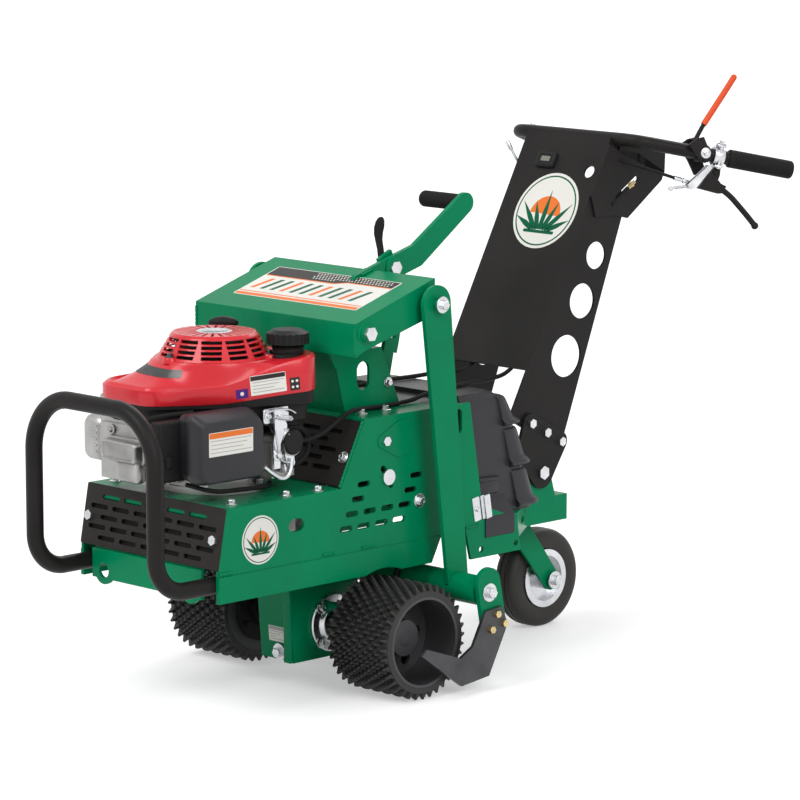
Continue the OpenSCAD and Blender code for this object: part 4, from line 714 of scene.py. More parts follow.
def pressed_cover(low, high, deep, levels, corner):
    """A cover lofted forwards: each level has a share of the depth, and an inset that sets its corners."""
    rings = []
    for share, inset in levels:
        outline = rounded((low.y + inset, low.z + inset), (high.y - inset, high.z - inset), corner(inset))
        rings.append([Vector((low.x + share * deep, u, v)) for u, v in outline])
    shape = bmesh.new()
    add_loft(shape, rings)
    return shape


def make_valve_cover():
    """A cast cover with a flange, a stepped crown and a bare framed panel, on a round cast foot."""
    low, high = drawn_box("valve_cover")
    foot = low.z
    low.y, high.y, low.z = *VALVE_ACROSS, VALVE_LOW
    shape = pressed_cover(low, high, high.x - low.x, VALVE_LEVELS, lambda inset: max(3, 10 - inset * 0.5))
    add_box(shape, (low.x - 4, low.y + 36, foot - 2), (high.x - 5, high.y - 4, low.z + 8), 10)
    for y in (low.y + 8, high.y - 8):
        add_bolt(shape, (low.x + 2, y, high.z + 9), AHEAD, 9.0)
    return shape


def make_muffler_guard():
    """A pressed guard with a broad rolled rim and rows of raised louvres."""
    low, high = drawn_box("muffler")
    high.x = MUFFLER_FRONT
    low.y -= MUFFLER_WIDER
    shape = pressed_cover(low, high, high.x - low.x - 2, MUFFLER_LEVELS, lambda inset: 16 - 0.2 * inset)
    for row in range(LOUVRES):
        z = low.z + LOUVRE_LOW + row * LOUVRE_PITCH
        top = z + LOUVRE_HIGH
        add_box(shape, (high.x - 8, high.y - 26, z), (high.x - 0.4, high.y - 17, top), LOUVRE_EDGE)
        for x in (low.x + 14, low.x + 44):
            add_box(shape, (x, low.y + 0.1, z), (x + 22, low.y + 8, top), LOUVRE_EDGE)
    return shape


def make_bases():
    """The cleaner's back plate, the tank's underside, a wall round the fan below the shroud, and a dark band under
    the skirt that is partly painted shade.
    """
    shape = bmesh.new()
    low, high = drawn_box("air_cleaner")
    add_box(shape, (low.x + 40, low.y - 22, low.z + 4), (high.x + 38, low.y + 3, high.z - 14), 5)
    add_box(shape, (high.x + 8, low.y - 8, low.z + 30), (high.x + 26, low.y + 9, low.z + 50), 3)
    add_box(shape, (141, 76, 494), (190, 126, SHROUD_LOW + 14), 8)
    for levels in FAN_WALL_AND_SHADE_BAND:
        rings = []
        for inset, lift in levels:
            flats = [CRANK + (plan_reach(spoke(turn)) - inset) * spoke(turn) for turn in TURNS]
            rises = [tank_rise(flat) if lift > 0 else 0.0 for flat in flats]
            rings.append([Vector((*flat, SHROUD_LOW + lift + rise)) for flat, rise in zip(flats, rises)])
        add_loft(shape, rings, closed_ends=False, looped=True)
    return shape


piece("engine_bases", make_bases(), dark_plastic)
piece("air_cleaner_case", make_air_cleaner(), charcoal, ["air_cleaner"])
piece("valve_cover_casting", make_valve_cover(), casting, ["valve_cover"])
piece("muffler_guard", make_muffler_guard(), casting, ["muffler"])
print("engine covers: air cleaner, valve cover, muffler guard")

# %% [markdown]
# ## Slotted guards
# Two black sheets guard the engine bay, one in front and one slanted behind the engine. Their slots are
# punched in rows that are staggered by half a pitch. The sheet is filled between its outline and its slots,
# which is quicker and cleaner than cutting sixty holes with booleans. A dark sheet behind each guard is
# painted shade: a guess at the shadowed bay that darkens the slots.

# %% Guards, seam strips and side hatch
SLOT_LONG, SLOT_HIGH, SLOT_PITCH = 45.0, 8.0, 56.0
GUARD_LEAN = math.atan2(20.0, 107.0)
GUARD_THICK = 3.0


def slot_rows(rows, half):
    """The outlines of staggered slots: rows are heights, and half is the room on each side of the middle."""
    long, high = SLOT_LONG / 2, SLOT_HIGH / 2
    slots = []
    for k, v in enumerate(rows):
        for i in range(-4, 5):
            u = (i + 0.5 * (k % 2)) * SLOT_PITCH
            if abs(u) + long <= half:
                slots.append(rounded((u - long, v - high), (u + long, v + high), high - 0.01, 4))
    return slots


def make_guard(name, outline, rows, half, *plane):
    """A slotted sheet on a plane, in place of a CAD sheet."""
    shape = bmesh.new()
    add_pierced(shape, [outline] + slot_rows(rows, half), GUARD_THICK, *plane)
    piece(name + "_sheet", shape, guard_coat, [name])


low, high = drawn_box("front_guard")
front_up = Vector((-math.sin(GUARD_LEAN), 0, math.cos(GUARD_LEAN)))
front_out = Vector((math.cos(GUARD_LEAN), 0, math.sin(GUARD_LEAN)))
front_foot = Vector((high.x - 3.05, 0, low.z))
tall = (high.z - 0.6 - low.z) / math.cos(GUARD_LEAN)
rows = [(z - low.z) / math.cos(GUARD_LEAN) for z in (352.3, 334.8, 317.4, 299.9, 282.3)]
make_guard("front_guard", rounded((low.y, 0), (high.y, tall), 3, 3), rows, 166, front_foot, front_out,
           front_up)
# Painted shade: a dark sheet just behind the front guard, behind all but its top slot row, stands for the shadowed
# bay.
painted_shade_sheet = bmesh.new()
add_plate(painted_shade_sheet, box_outline((-168, 4), (168, rows[1] + 8)), 1, front_foot - 4 * front_out, front_out,
          front_up)
shape = bmesh.new()
add_box(shape, (380, -141, 257), (385.2, 141, 271), 1)
case_low, _ = drawn_box("chain_case")
case_spot, _ = touch("chain_case", (300, 36, 120), -AHEAD)
case_wall, _ = touch("chain_case", (case_spot.x - 20, 300, 120), -LEFT)
add_box(shape, (case_spot.x - 3, case_wall.y - 17, case_low.z + 1),
        (case_spot.x + 2.4, case_wall.y + 0.6, 210), 0.8)
piece("seam_strips", shape, green_paint)
HATCH = [(-22, 0), (-21, 7), (-16, 12), (22, 31), (34, 35), (46, 34), (56, 26), (60, 10), (60, -10),
         (55, -22), (44, -29), (30, -31), (20, -29), (-16, -10), (-21, -6)]
shape = bmesh.new()
hatch_spot, hatch_out = touch("side_plate_left", (-40, 400, 442), -LEFT)
add_plate(shape, HATCH, 1.6, (-9, hatch_spot.y, 442), hatch_out, UP, 0.5)
piece("side_hatch", shape, green_paint)

low, high = drawn_box("rear_guard")
slope = Vector((low.x - high.x + 2, 0, high.z - low.z)).normalized()
rear_out = Vector((slope.z, 0, -slope.x))
rear_foot = Vector((high.x - 3, 0, low.z))
long = (high.z - low.z) / slope.z
rows = [long * share for share in (0.8, 0.66, 0.52, 0.38, 0.24)]
make_guard("rear_guard", rounded((low.y, 0), (high.y, long - 1), 2, 3), rows, 150, rear_foot, rear_out, slope)
# Painted shade: a dark sheet just behind the rear guard's slots, standing for the shadowed bay.
add_plate(painted_shade_sheet, box_outline((-152, 8), (152, long - 6)), 1, rear_foot - 4 * rear_out, rear_out, slope)
piece("guard_painted_shade", painted_shade_sheet, soft_rubber)
print("guards: two slotted sheets, a felt and two seam strips; case wall at", round(case_wall.y, 1))

# %% [markdown]
# ## Governor linkage, hose and leads
# Beside the carburettor a bell-crank, rods and a spring hold the engine's speed. They are thin and bright,
# so bent wire and cut plates suit them; the spring is a helix passed to the same tube bender. The rubber
# hose and lead are fixed at both ends, so they are plain bent tubes.

# %% Linkage and hoses
SPRING_LEAD = 0.12
COIL_STEPS = 10


def spring_route(start, end, radius, turns):
    """A helix between two points, with straight ends."""
    start, end = Vector(start), Vector(end)
    axis = (end - start).normalized()
    side = axis.orthogonal().normalized()
    across = axis.cross(side)
    count = COIL_STEPS * turns
    line = [start]
    for k in range(count + 1):
        angle = 2 * math.pi * turns * k / count
        spot = start.lerp(end, SPRING_LEAD + (1 - 2 * SPRING_LEAD) * k / count)
        line.append(spot + radius * (math.cos(angle) * side + math.sin(angle) * across))
    return line + [end]


ARM = [(-7, -52), (7, -52), (8, -10), (16, 6), (16, 40), (6, 52), (-6, 50), (-5, 12), (-9, -8)]
shape = bmesh.new()
add_plate(shape, ARM, 3, (214, 136, 468), LEFT, UP, 0.6)
add_plate(shape, rounded((-30, -13), (30, 13), 6), 3, (208, 128, 508), LEFT, UP, 0.6)
add_plate(shape, rounded((-10, -34), (10, 34), 6), 3, (184, 132, 448), LEFT, (0.2, 0, 1), 0.6)
add_tube(shape, [(240, 138, 516), (220, 141, 519), (190, 141, 517), (170, 138, 508)], 1.6, 8)
add_tube(shape, [(222, 143, 486), (216, 144, 450), (205, 141, 430), (186, 139, 424)], 1.6, 8)
add_tube(shape, [(232, 126, 420), (214, 134, 404), (200, 140, 398), (186, 140, 408), (180, 138, 430)],
         4.5, 10)
add_tube(shape, spring_route((224, 145, 508), (180, 143, 500), 4.2, 9), 0.8, 6, 1)
add_bolt(shape, (214, 139, 440), LEFT, 10)
add_bolt(shape, (186, 135, 470), LEFT, 9)
add_bolt(shape, (228, 131, 508), LEFT, 8)
add_turned(shape, [(0, 0), (15, 0), (15, 10), (12, 14), (0, 14)], (196, 118, 486), LEFT, 24)
add_turned(shape, [(0, 0), (11, 0), (11, 16), (8, 18), (0, 18)], (178, 122, 404), UP, 24)
piece("governor_linkage", shape, zinc)
shape = bmesh.new()
add_turned(shape, [(0, 0), (22, 0), (22, 3), (19, 6), (0, 6)], (176, 136.5, 458), LEFT, 32)
piece("carburettor_cap", shape, dark_plastic)
shape = bmesh.new()
add_tube(shape, [(176, 112, 476), (160, 116, 480), (138, 120, 474), (124, 120, 450), (126, 118, 430),
                 (146, 118, 416), (168, 120, 414)], 5, 12)
add_tube(shape, [(372, 84, 402), (366, 118, 398), (340, 128, 392), (300, 122, 388), (262, 120, 386),
                 (222, 116, 384), (196, 100, 385)], 4, 12)
add_tube(shape, [(398, -16, 486), (404, 2, 500), (396, 26, 512), (372, 52, 518), (340, 66, 520)], 4.5, 12)
piece("engine_hoses", shape, soft_rubber)
print("linkage: three plates, three rods and one spring; hoses: three")

# %% [markdown]
# ## Badges and the head's panel
# The maker's round badges and the printed panel on the depth head are replaced by plain designs of the same
# size and colours: grass blades before a low sun, and a row of slanted bars. Each shape of colour is a thin
# cut sheet, a tenth of a millimetre above the one below, so the design is geometry and needs no picture.

# %% Printed sheets
PRINT_COLOURS = {
    "white": (0.82, 0.81, 0.76), "orange": (0.84, 0.2, 0.04), "green": (0.0, 0.11, 0.05),
    "dark": (0.035, 0.033, 0.03), "purple": (0.08, 0.02, 0.2), "grey": (0.42, 0.42, 0.42),
}
PRINT_DRIFT = {"white": 0.03, "orange": 0.04, "dark": 0.08}
PRINTS = [finish("printed_" + name, "dark_plastic", colour, (0.32, 0.42) if name == "dark" else (0.3, 0.4),
                 drift=PRINT_DRIFT.get(name, 0.05), relief=0.02, edge=0)
          for name, colour in PRINT_COLOURS.items()]
WHITE, ORANGE, GREEN, DARK, PURPLE, GREY = range(6)
LAYER = 0.12
TUFT = ((-64, 0.7), (-42, 0.95), (-22, 0.78), (0, 1.05), (20, 0.82), (41, 0.98), (63, 0.68))


def printer(shape, at, axis, up):
    """A function that lays a thin sheet of one colour, a number of layers above its ground."""
    lift = Vector(axis).normalized() * LAYER

    def lay(colour, outline, level):
        before = len(shape.faces)
        add_plate(shape, outline, LAYER, Vector(at) + level * lift, axis, up)
        shape.faces.ensure_lookup_table()
        for face in shape.faces[before:]:
            face.material_index = colour

    return lay


def moved(outline, u, v):
    """An outline, moved on the flat."""
    return [(u + x, v + y) for x, y in outline]


def blade_of_grass(root, angle, length, width):
    """A pointed leaf from a root, leaning by an angle."""
    lean = math.radians(angle)
    along = Vector((math.sin(lean), math.cos(lean)))
    across = Vector((along.y, -along.x))
    root = Vector(root)
    return [tuple(root - 0.5 * width * across), tuple(root + 0.5 * width * across),
            tuple(root + 0.45 * length * along + 0.55 * width * across), tuple(root + length * along),
            tuple(root + 0.45 * length * along - 0.5 * width * across)]


def make_badge(name, at, axis, up, radius):
    """A round badge: a white field, a ring, a low sun and a tuft of grass."""
    shape = bmesh.new()
    lay = printer(shape, at, axis, up)
    lay(WHITE, arc(radius), 0)
    lay(GREEN, arc(0.93 * radius), 1)
    lay(WHITE, arc(0.89 * radius), 2)
    lay(ORANGE, moved(arc(0.5 * radius, 24, 182), 0, -0.12 * radius), 3)
    for angle, length in TUFT:
        root = (0.004 * angle * radius, -0.5 * radius)
        lay(GREEN, blade_of_grass(root, angle, length * radius, 0.13 * radius), 4)
    lay(GREEN, rounded((-0.5 * radius, -0.6 * radius), (0.5 * radius, -0.52 * radius), 0.03 * radius, 3), 4)
    piece(name, shape, PRINTS)


def make_label(name, at, axis, up, size, head):
    """A blank label: a pale field, a band of colour and a few plain rules."""
    shape = bmesh.new()
    lay = printer(shape, at, axis, up)
    wide, high = size[0] / 2, size[1] / 2
    lay(WHITE, rounded((-wide, -high), (wide, high), 1.5, 3), 0)
    lay(head, box_outline((-wide + 1, 0.5 * high), (wide - 1, high - 1)), 1)
    for k in range(4):
        v = 0.3 * high - 0.33 * high * k
        lay(GREY, box_outline((-wide + 4, v - 0.6), (wide - 4 - 9 * (k % 3), v + 0.6)), 1)
    piece(name, shape, PRINTS)


WALL_OUT = spoke(WALL_TURN).to_3d()
WALL_BACK = Vector((-WALL_OUT.y, WALL_OUT.x, 0))
WALL_START = CRANK.to_3d() + 111 * WALL_OUT
LABEL_UP = UP - 0.09 * WALL_BACK


def on_wall(back, z):
    """A place on the shroud's long wall: a distance back along it, and a height."""
    return WALL_START + back * WALL_BACK + z * UP


make_label("shroud_label", on_wall(58.3, 563), WALL_OUT, LABEL_UP, (65, 34), DARK)
shape = bmesh.new()
lay = printer(shape, on_wall(11, 548), WALL_OUT, LABEL_UP)
lay(PURPLE, box_outline((-11, -8), (11, 8)), 0)
lay(WHITE, arc(3.4), 1)
lay = printer(shape, on_wall(106.7, 560), WALL_OUT, LABEL_UP)
lay(DARK, box_outline((-9, -11), (9, 11)), 0)
for u, v in ((-4, 5), (4, 5), (-4, -5), (4, -5)):
    lay(WHITE, moved(arc(2.4, 12), u, v), 1)
piece("shroud_marks", shape, PRINTS)
make_label("cleaner_label", (326, drawn_box("air_cleaner")[1].y, 477), LEFT, UP, (100, 41), ORANGE)
case_face, case_out = touch("chain_case", (300, -1, 86), -AHEAD)
make_label("case_label", case_face, case_out, UP, (42, 28), GREY)
spot, outward = touch("side_plate_left", (290, 400, 309), -LEFT)
make_badge("side_badge", spot, outward, UP, 42)

HEAD_FRONT, HEAD_REAR = (92.0, 660.0), (-100.0, 722.0)
HEAD_UP = Vector((HEAD_REAR[0] - HEAD_FRONT[0], 0, HEAD_REAR[1] - HEAD_FRONT[1])).normalized()
spot, HEAD_OUT = touch("depth_head", (-11, 0, 900), -UP)
PANEL_HALF = (158.0, 60.0)
DOT_ROWS, DOTS, DOT_R = 4, 26, 1.9
DOT_PITCH, DOT_ROW_PITCH = 7.4, 6.4
BARS, BAR_PITCH = 11, 25


def make_head_panel():
    """The panel on the head: a pale field, two stripes along its front, a dotted band along its rear."""
    shape = bmesh.new()
    wide, high = PANEL_HALF
    left, right, rear = -wide + 3, wide - 3, high - 2
    lay = printer(shape, spot, HEAD_OUT, HEAD_UP)
    lay(WHITE, rounded((-wide, -high), (wide, high), 4, 4), 0)
    lay(ORANGE, box_outline((left, -high + 2), (right, -high + 11)), 1)
    lay(ORANGE, box_outline((left, -high + 15), (right, -high + 18)), 1)
    lay(ORANGE, [(left, 22), (20, 22), (46, 32), (right, 32), (right, rear), (left, rear)], 1)
    lay(DARK, [(left, 25), (19, 25), (45, 35), (right, 35), (right, rear), (left, rear)], 2)
    for row in range(DOT_ROWS):
        for k in range(DOTS):
            u = -wide + 112 + DOT_PITCH * (k + 0.5 * (row % 2))
            v = high - 7 - DOT_ROW_PITCH * row
            if u < wide - 8 and v > (27 if u < 14 else 38):
                lay(WHITE, moved(arc(DOT_R, 8), u, v), 3)
    for k in range(BARS):
        u = -wide + 26 + BAR_PITCH * k
        lay(GREEN if k % 3 else ORANGE, [(u - 12, -30), (u - 2, -30), (u + 14, 12), (u + 4, 12)], 1)
    piece("head_panel", shape, PRINTS, body="head")


make_head_panel()
COLUMN = Matrix.Translation((-437, 0, 512)) @ Matrix.Rotation(math.radians(-28.3), 4, "Y")
COLUMN_OUT = COLUMN.to_3x3() @ AHEAD
COLUMN_UP = COLUMN.to_3x3() @ UP
make_badge("handle_badge", COLUMN @ Vector((0.05, 11, 310)), COLUMN_OUT, COLUMN_UP, 76)
print("printed: two badges, three labels, two marks and one panel")

# %% [markdown]
# ## Weld beads
# The frame is cut plate, welded at its corners. A bead is a lumpy little roll of metal where two plates
# meet, so it is a bent tube whose radius waves. Painted beads are small, but without them plates look
# glued.

# %% Beads on the frame and the head


def add_bead(shape, start, end, radius=3.0):
    """A welded bead along a straight corner."""
    start, end = Vector(start), Vector(end)
    count = max(4, int((end - start).length / 2.2))
    add_tube(shape, [start.lerp(end, k / count) for k in range(count + 1)], radius, 8, 1, 0.22)


def add_ring_bead(shape, at, axis, radius, size=3.0):
    """A welded bead round a boss, with a wave along it."""
    frame_of = turned_to(axis)
    steps = 40
    rings = []
    for k in range(9):
        tilt = size * spoke(180 * k / 8)
        ring = []
        for i in range(steps):
            u, v = (radius + tilt.x * (1 + 0.12 * math.sin(2.5 * i))) * spoke(360 * i / steps)
            ring.append(Vector(at) + frame_of @ Vector((u, v, 0.9 * tilt.y)))
        rings.append(ring)
    add_loft(shape, rings, closed_ends=False)


FRAME_SIDE = 178.0
shape = bmesh.new()
for side in (1, -1):
    y = side * FRAME_SIDE
    add_bead(shape, (356, y, 262), (384, y, 262), 3.2)
    add_bead(shape, (20, y, 262), (52, y, 262), 2.6)
    add_bead(shape, (118, y, 262), (146, y, 262), 2.6)
    add_bead(shape, (102, y - side * 3, 374), (46, y - side * 3, 484), 2.4)
    add_bead(shape, (26, side * 110, 489), (-60, side * 110, 489), 3.0)
    add_bead(shape, (-204, y, 262), (-236, y, 262), 2.6)
    add_bead(shape, (386, side * 90, 262), (386, side * 134, 262), 2.8)
piece("frame_welds", shape, green_paint)

HEAD_SIDE = 205.0
PIVOT, LINK_PIN = (68.0, 642.0), (-84.0, 680.0)
shape = bmesh.new()
for side in (1, -1):
    for x, z in (PIVOT, LINK_PIN):
        add_ring_bead(shape, (x, side * HEAD_SIDE, z), side * LEFT, 15.5)
    add_bead(shape, (92, side * 203, 652), (92, side * 203, 608), 2.6)
for y in (38, 52):
    add_bead(shape, (-70, y, 715), (-94, y, 722), 3.0)
piece("head_welds", shape, green_paint, body="head")
print("weld beads on the frame and the head")

# %% [markdown]
# ## Pivot bolts and frame screws
# The solids already carry the main bolts. The pins of the depth gear end in plated screws on wide washers,
# and a few more hold the guards, the tower and the engine deck. Each is set where a line first meets its
# plate.

# %% Screws
shape = bmesh.new()
for side in (1, -1):
    seat_bolt(shape, "depth_head", (LINK_PIN[0], side * 320, LINK_PIN[1]), -side * LEFT, 15)
piece("link_pin_screws", shape, zinc, body="head")
shape = bmesh.new()
for x, y in ((211, 157), (140, 161), (211, -157), (140, -161), (330, 150), (330, -150)):
    seat_bolt(shape, "engine_deck", (x, y, 420), -UP, 11)
for side, plate in ((1, "side_plate_left"), (-1, "side_plate_right")):
    for x in (8, -50):
        seat_bolt(shape, "rear_deck", (x, side * 132, 560), -UP, 11)
    seat_bolt(shape, "tower", (-78, side * 300, 530), -side * LEFT, 10)
    seat_bolt(shape, plate, (-88, side * 400, 326.6), -side * LEFT, 13)
    add_bolt(shape, rear_foot + 52 * slope + 3 * rear_out + side * 158 * LEFT, rear_out, 11)
piece("frame_screws", shape, zinc)
print("screws on the deck, the rear deck, the tower, the side plates and the rear guard")

# %% [markdown]
# ## Depth lever grip and clamp disc
# The depth lever ends in a cross grip of ribbed rubber. Turning one profile with its ribs is simpler than
# adding rings one by one. A painted disc spreads the clamp bolt's load on the lever.

# %% Lever grip


def ribbed_profile(radius, length, pitch, depth, nose):
    """Radius and height along a ribbed grip with a rounded end."""
    profile = [(0, 0), (radius - 2, 0), (radius - 0.4, 1.5), (radius, 4), (radius, 7)]
    height = 8.0
    while height < length - nose - pitch:
        profile += [(radius - depth, height), (radius - depth, height + 0.4 * pitch),
                    (radius, height + 0.5 * pitch), (radius, height + 0.9 * pitch)]
        height += pitch
    for k in range(7):
        angle = math.radians(90 * k / 6)
        profile.append((radius - nose + nose * math.cos(angle), length - nose + nose * math.sin(angle)))
    return profile + [(0, length)]


low, high = drawn_box("lever_grip")
shape = bmesh.new()
middle = (low + high) / 2
add_turned(shape, ribbed_profile(15, high.y - low.y, 5, 0.8, 6), (middle.x, high.y, middle.z), -LEFT, 40)
piece("depth_lever_grip", shape, soft_rubber, ["lever_grip"], body="head")
shape = bmesh.new()
spot, outward = touch("depth_lever", (-152 + 16, 300, 721), -LEFT)
add_turned(shape, [(0, 0), (21, 0), (21, 2.4), (20, 3), (0, 3)], (-152, spot.y, 721), outward, 40)
piece("clamp_disc", shape, green_paint, body="head")
print("lever grip: ribbed,", round(high.y - low.y), "mm long")

# %% [markdown]
# ## Rear cover
# A moulded cover closes the rear of the frame over the pump. Seen from above it is a box with broad rear
# corners, and its rear steps back in three bands, each of which ends in a rolled bead. Lofting level
# outlines upwards keeps those corners round; the bands use the same outlines, moved out by a profile of
# their own.

# %% Cover, bands, flaps and latch clips
COVER_SIDE = 152.0
COVER_FRONT = -219.0
COVER_REAR = [(270, -420), (326, -404), (376, -388), (424, -372), (462, -350), (478, -339), (487, -331),
              (492, -322), (494, -312)]
COVER_CORNER = 34.0
BANDS = ((484, 430), (424, 353), (347, 277))
BAND_PROFILE = [(0.0, -1.5), (0.05, 3.0), (0.12, 4.0), (0.72, 5.5), (0.8, 6.5), (0.86, 10.0), (0.92, 12.0),
                (0.97, 11.0), (1.0, 8.0), (1.04, 2.0), (1.05, -1.5)]


def cover_rear(z):
    """How far back the cover reaches at a height."""
    for (z_low, x_low), (z_high, x_high) in zip(COVER_REAR, COVER_REAR[1:]):
        if z <= z_high:
            return x_low + (x_high - x_low) * (z - z_low) / (z_high - z_low)
    return COVER_REAR[-1][1]


def level_outline(front, z, out):
    """The cover's outline at a height, moved out by a distance."""
    rear = cover_rear(z) - out
    corner = min(COVER_CORNER, 0.8 * (front - rear))
    flat = rounded((rear, -COVER_SIDE - out), (front, COVER_SIDE + out), (corner, 4, 4, corner))
    return [Vector((x, y, z)) for x, y in flat]


def make_cover():
    """The cover's shell, with its three bands, a ledge on each side and a lip that reaches the rear deck."""
    shape = bmesh.new()
    add_box(shape, (COVER_FRONT - 3, -146, 462), (-147, 146, 485), 3)
    add_loft(shape, [level_outline(COVER_FRONT, z, -0.5 * max(0, z - 478)) for z, _ in COVER_REAR])
    for top, foot in BANDS:
        levels = []
        for share, out in BAND_PROFILE:
            z = top + (foot - top) * share
            levels.append(level_outline(-311 - 0.25 * (477 - z), z, out))
        add_loft(shape, levels)
    for side in (1, -1):
        ends = sorted((side * (COVER_SIDE - 4), side * (COVER_SIDE + 4)))
        add_box(shape, (-314, ends[0], 308), (-262, ends[1], 338), 3.5)
        add_tube(shape, [(-260, side * 155, 337), (-290, side * 155, 336), (-312, side * 154, 335)], 4.5, 12)
    return shape


piece("rear_cover_moulding", make_cover(), charcoal, ["rear_cover"])
shape = bmesh.new()
for side in (1, -1):
    skirt = [(149, 308), (154, 301), (179.4, 273), (180.6, 268), (180.6, 238), (178, 236), (178, 266),
             (176, 271), (150, 297), (146, 302)]
    add_plate(shape, [(side * y, z) for y, z in skirt], 74, (-328, 0, 0), AHEAD, UP)
piece("cover_flaps", shape, charcoal)


def make_clips():
    """Two bent spring clips that hold the cover to the frame."""
    shape = bmesh.new()
    for side in (1, -1):
        y = side * FRAME_SIDE
        level = side * LEFT, (0.16, 0, 1)
        add_plate(shape, rounded((-9, -22), (9, 22), 3, 3), 2, (-232, y, 292), *level, 0.5)
        for x, lift in ((-247, 4), (-254, 6.5), (-261, 4)):
            add_plate(shape, rounded((-5, -22), (5, 22), 1.5, 3), lift, (x, y, 294), *level, 1)
        add_bolt(shape, (-232, y + 2 * side, 292), side * LEFT, 8, washer=False)
    return shape


piece("cover_clips", make_clips(), zinc)
print("rear cover: three bands, two flaps and two clips")

# %% [markdown]
# ## Handle fittings
# The handlebar carries two ribbed grips. On the panel sits a small hour meter, and beside it the cables end
# in threaded fittings whose bare wires run on to the hand levers. A frame for each leg of the bar lets one
# grip be drawn straight and set out on both sides.

# %% Grips, hour meter and cable ends
BAR = Matrix.Translation((-674.349, 0, 918.002)) @ Matrix.Rotation(math.radians(-13.2), 4, "Y")
LEG_LEFT = BAR @ Matrix.Translation((0, 150, 0)) @ Matrix.Rotation(math.radians(151), 4, "Z")
LEG_RIGHT = Matrix.Scale(-1, 4, LEFT) @ LEG_LEFT
GRIP_START, GRIP_LEN, GRIP_R = 185.0, 128.0, 17.0
CLAMP_ALONG = 164.0

shape = bmesh.new()
for leg in (LEG_LEFT, LEG_RIGHT):
    start = leg @ (GRIP_START * AHEAD)
    along = leg.to_3x3() @ AHEAD
    add_turned(shape, ribbed_profile(GRIP_R, GRIP_LEN, 4, 0.7, 5), start, along, 48)
piece("handle_grips", shape, soft_rubber, ["handlebar_grips"])

METER_AT = (-30.0, 409.0)
METER_LEVELS = [(0, 0), (5, 0), (7, 1.2), (8, 3.2), (8, 5.5), (6.4, 7), (6.2, 7.6)]


def make_meter():
    """A small moulded case with a framed window."""
    at = COLUMN @ Vector((0, *METER_AT))
    rings = []
    for height, inset in METER_LEVELS:
        outline = rounded((-23 + inset, -15 + inset), (23 - inset, 15 - inset), 4, 4)
        rings.append([at + COLUMN.to_3x3() @ Vector((height, u, v)) for u, v in outline])
    shape = bmesh.new()
    add_loft(shape, rings)
    return shape


piece("hour_meter_case", make_meter(), dark_plastic, ["hour_meter"])
window_grey = finish("meter_window", "dark_plastic", (0.2, 0.21, 0.17), (0.12, 0.2), drift=0.08,
                     relief=0.02, edge=0, coat=0.6)
shape = bmesh.new()
add_plate(shape, rounded((-11, -4), (11, 6), 1, 3), 0.8, COLUMN @ Vector((6.2, *METER_AT)), COLUMN_OUT,
          COLUMN_UP, 0.3)
piece("hour_meter_window", shape, window_grey)

tails, fittings = bmesh.new(), bmesh.new()
for route, leg in ((THROTTLE_ROUTE, LEG_LEFT), (DRIVE_ROUTE, LEG_RIGHT)):
    end = Vector(route[-1])
    stop = leg @ Vector((90, 0, -54))
    way = (leg @ Vector((118, 0, -57)) - stop).normalized()
    side = math.copysign(1, end.y)
    bend = [end + Vector((-14, 17 * side, -8)), end.lerp(stop, 0.55) + Vector((0, 4 * side, -1))]
    add_tube(tails, [end, *bend, stop], 3, 12, 6)
    add_turned(fittings, [(0, -3), (4.4, -3), (4.4, 12), (3.4, 14), (3.4, 26), (2, 28), (0, 28)], stop,
               way, 16)
    add_turned(fittings, [(0, 0), (5.6, 0), (5.6, 4), (5, 4.6), (0, 4.6)], stop + 15 * way, way, 6)
    add_tube(fittings, [stop + 26 * way, leg @ Vector((130, 0, -62)), leg @ Vector((136, 0, -60))], 1.2, 8)
    add_tube(fittings, spring_route(leg @ Vector((84, -6, -74)), leg @ Vector((118, -2, -64)), 2.6, 9),
             0.8, 6, 1)
    add_turned(fittings, [(0, 0), (5, 0), (5, 2), (0, 2)], leg @ Vector((82, -7, -75)),
               leg.to_3x3() @ LEFT, 20)
piece("cable_tails", tails, soft_rubber)
piece("cable_fittings", fittings, zinc)

GUSSET = [(28, 450), (160, 462), (162.9, 469.9), (148, 501), (28, 478)]
shape = bmesh.new()
add_loft(shape, [[COLUMN @ Vector((-back, y, up)) for back, up in GUSSET] for y in (109, 105)])
piece("bracket_gusset", shape, black_paint)
shape = bmesh.new()
slot_end = COLUMN @ Vector((-91, 107, 410))
slot_way = COLUMN.to_3x3() @ Vector((-0.5, 0, 0.866))
add_turned(shape, [(0, -9), (4, -9), (4, -2), (5.4, -2), (5.4, 4), (3.6, 5), (3.6, 11), (0, 11)], slot_end,
           slot_way, 14)
piece("brass_end", shape, gold_zinc)
shape = bmesh.new()
add_tube(shape, [COLUMN @ Vector((-60, 107, 357)), COLUMN @ Vector((-86, 107, 401))], 4.5, 12, 1)
piece("brass_sheath", shape, soft_rubber)

shape = bmesh.new()
add_tube(shape, [(-655, -109, 846), (-640, -110, 858), (-630, -118, 880), (-623, -125, 900)], 2.6, 10)
add_turned(shape, [(0, 0), (4, 0), (4.4, 3), (4.4, 16), (3, 19), (0, 19)], (-627.5, -120.5, 886),
           (7, -7, 20), 16)
add_bolt(shape, (-655, -105, 846), -LEFT, 10)
piece("lock_rod", shape, zinc)
print("handle: two grips, an hour meter, cable ends and a lock rod")

# %% [markdown]
# ## Levers and their clamps
# Each hand lever is a die casting: a flat root on the pivot, a round arm and a ball end that won't catch a
# glove. The long lever is a bent rod on a folded plate, dipped in orange vinyl. All are drawn straight in
# the frame of a handlebar leg and then moved, so that the right side is the left side mirrored.

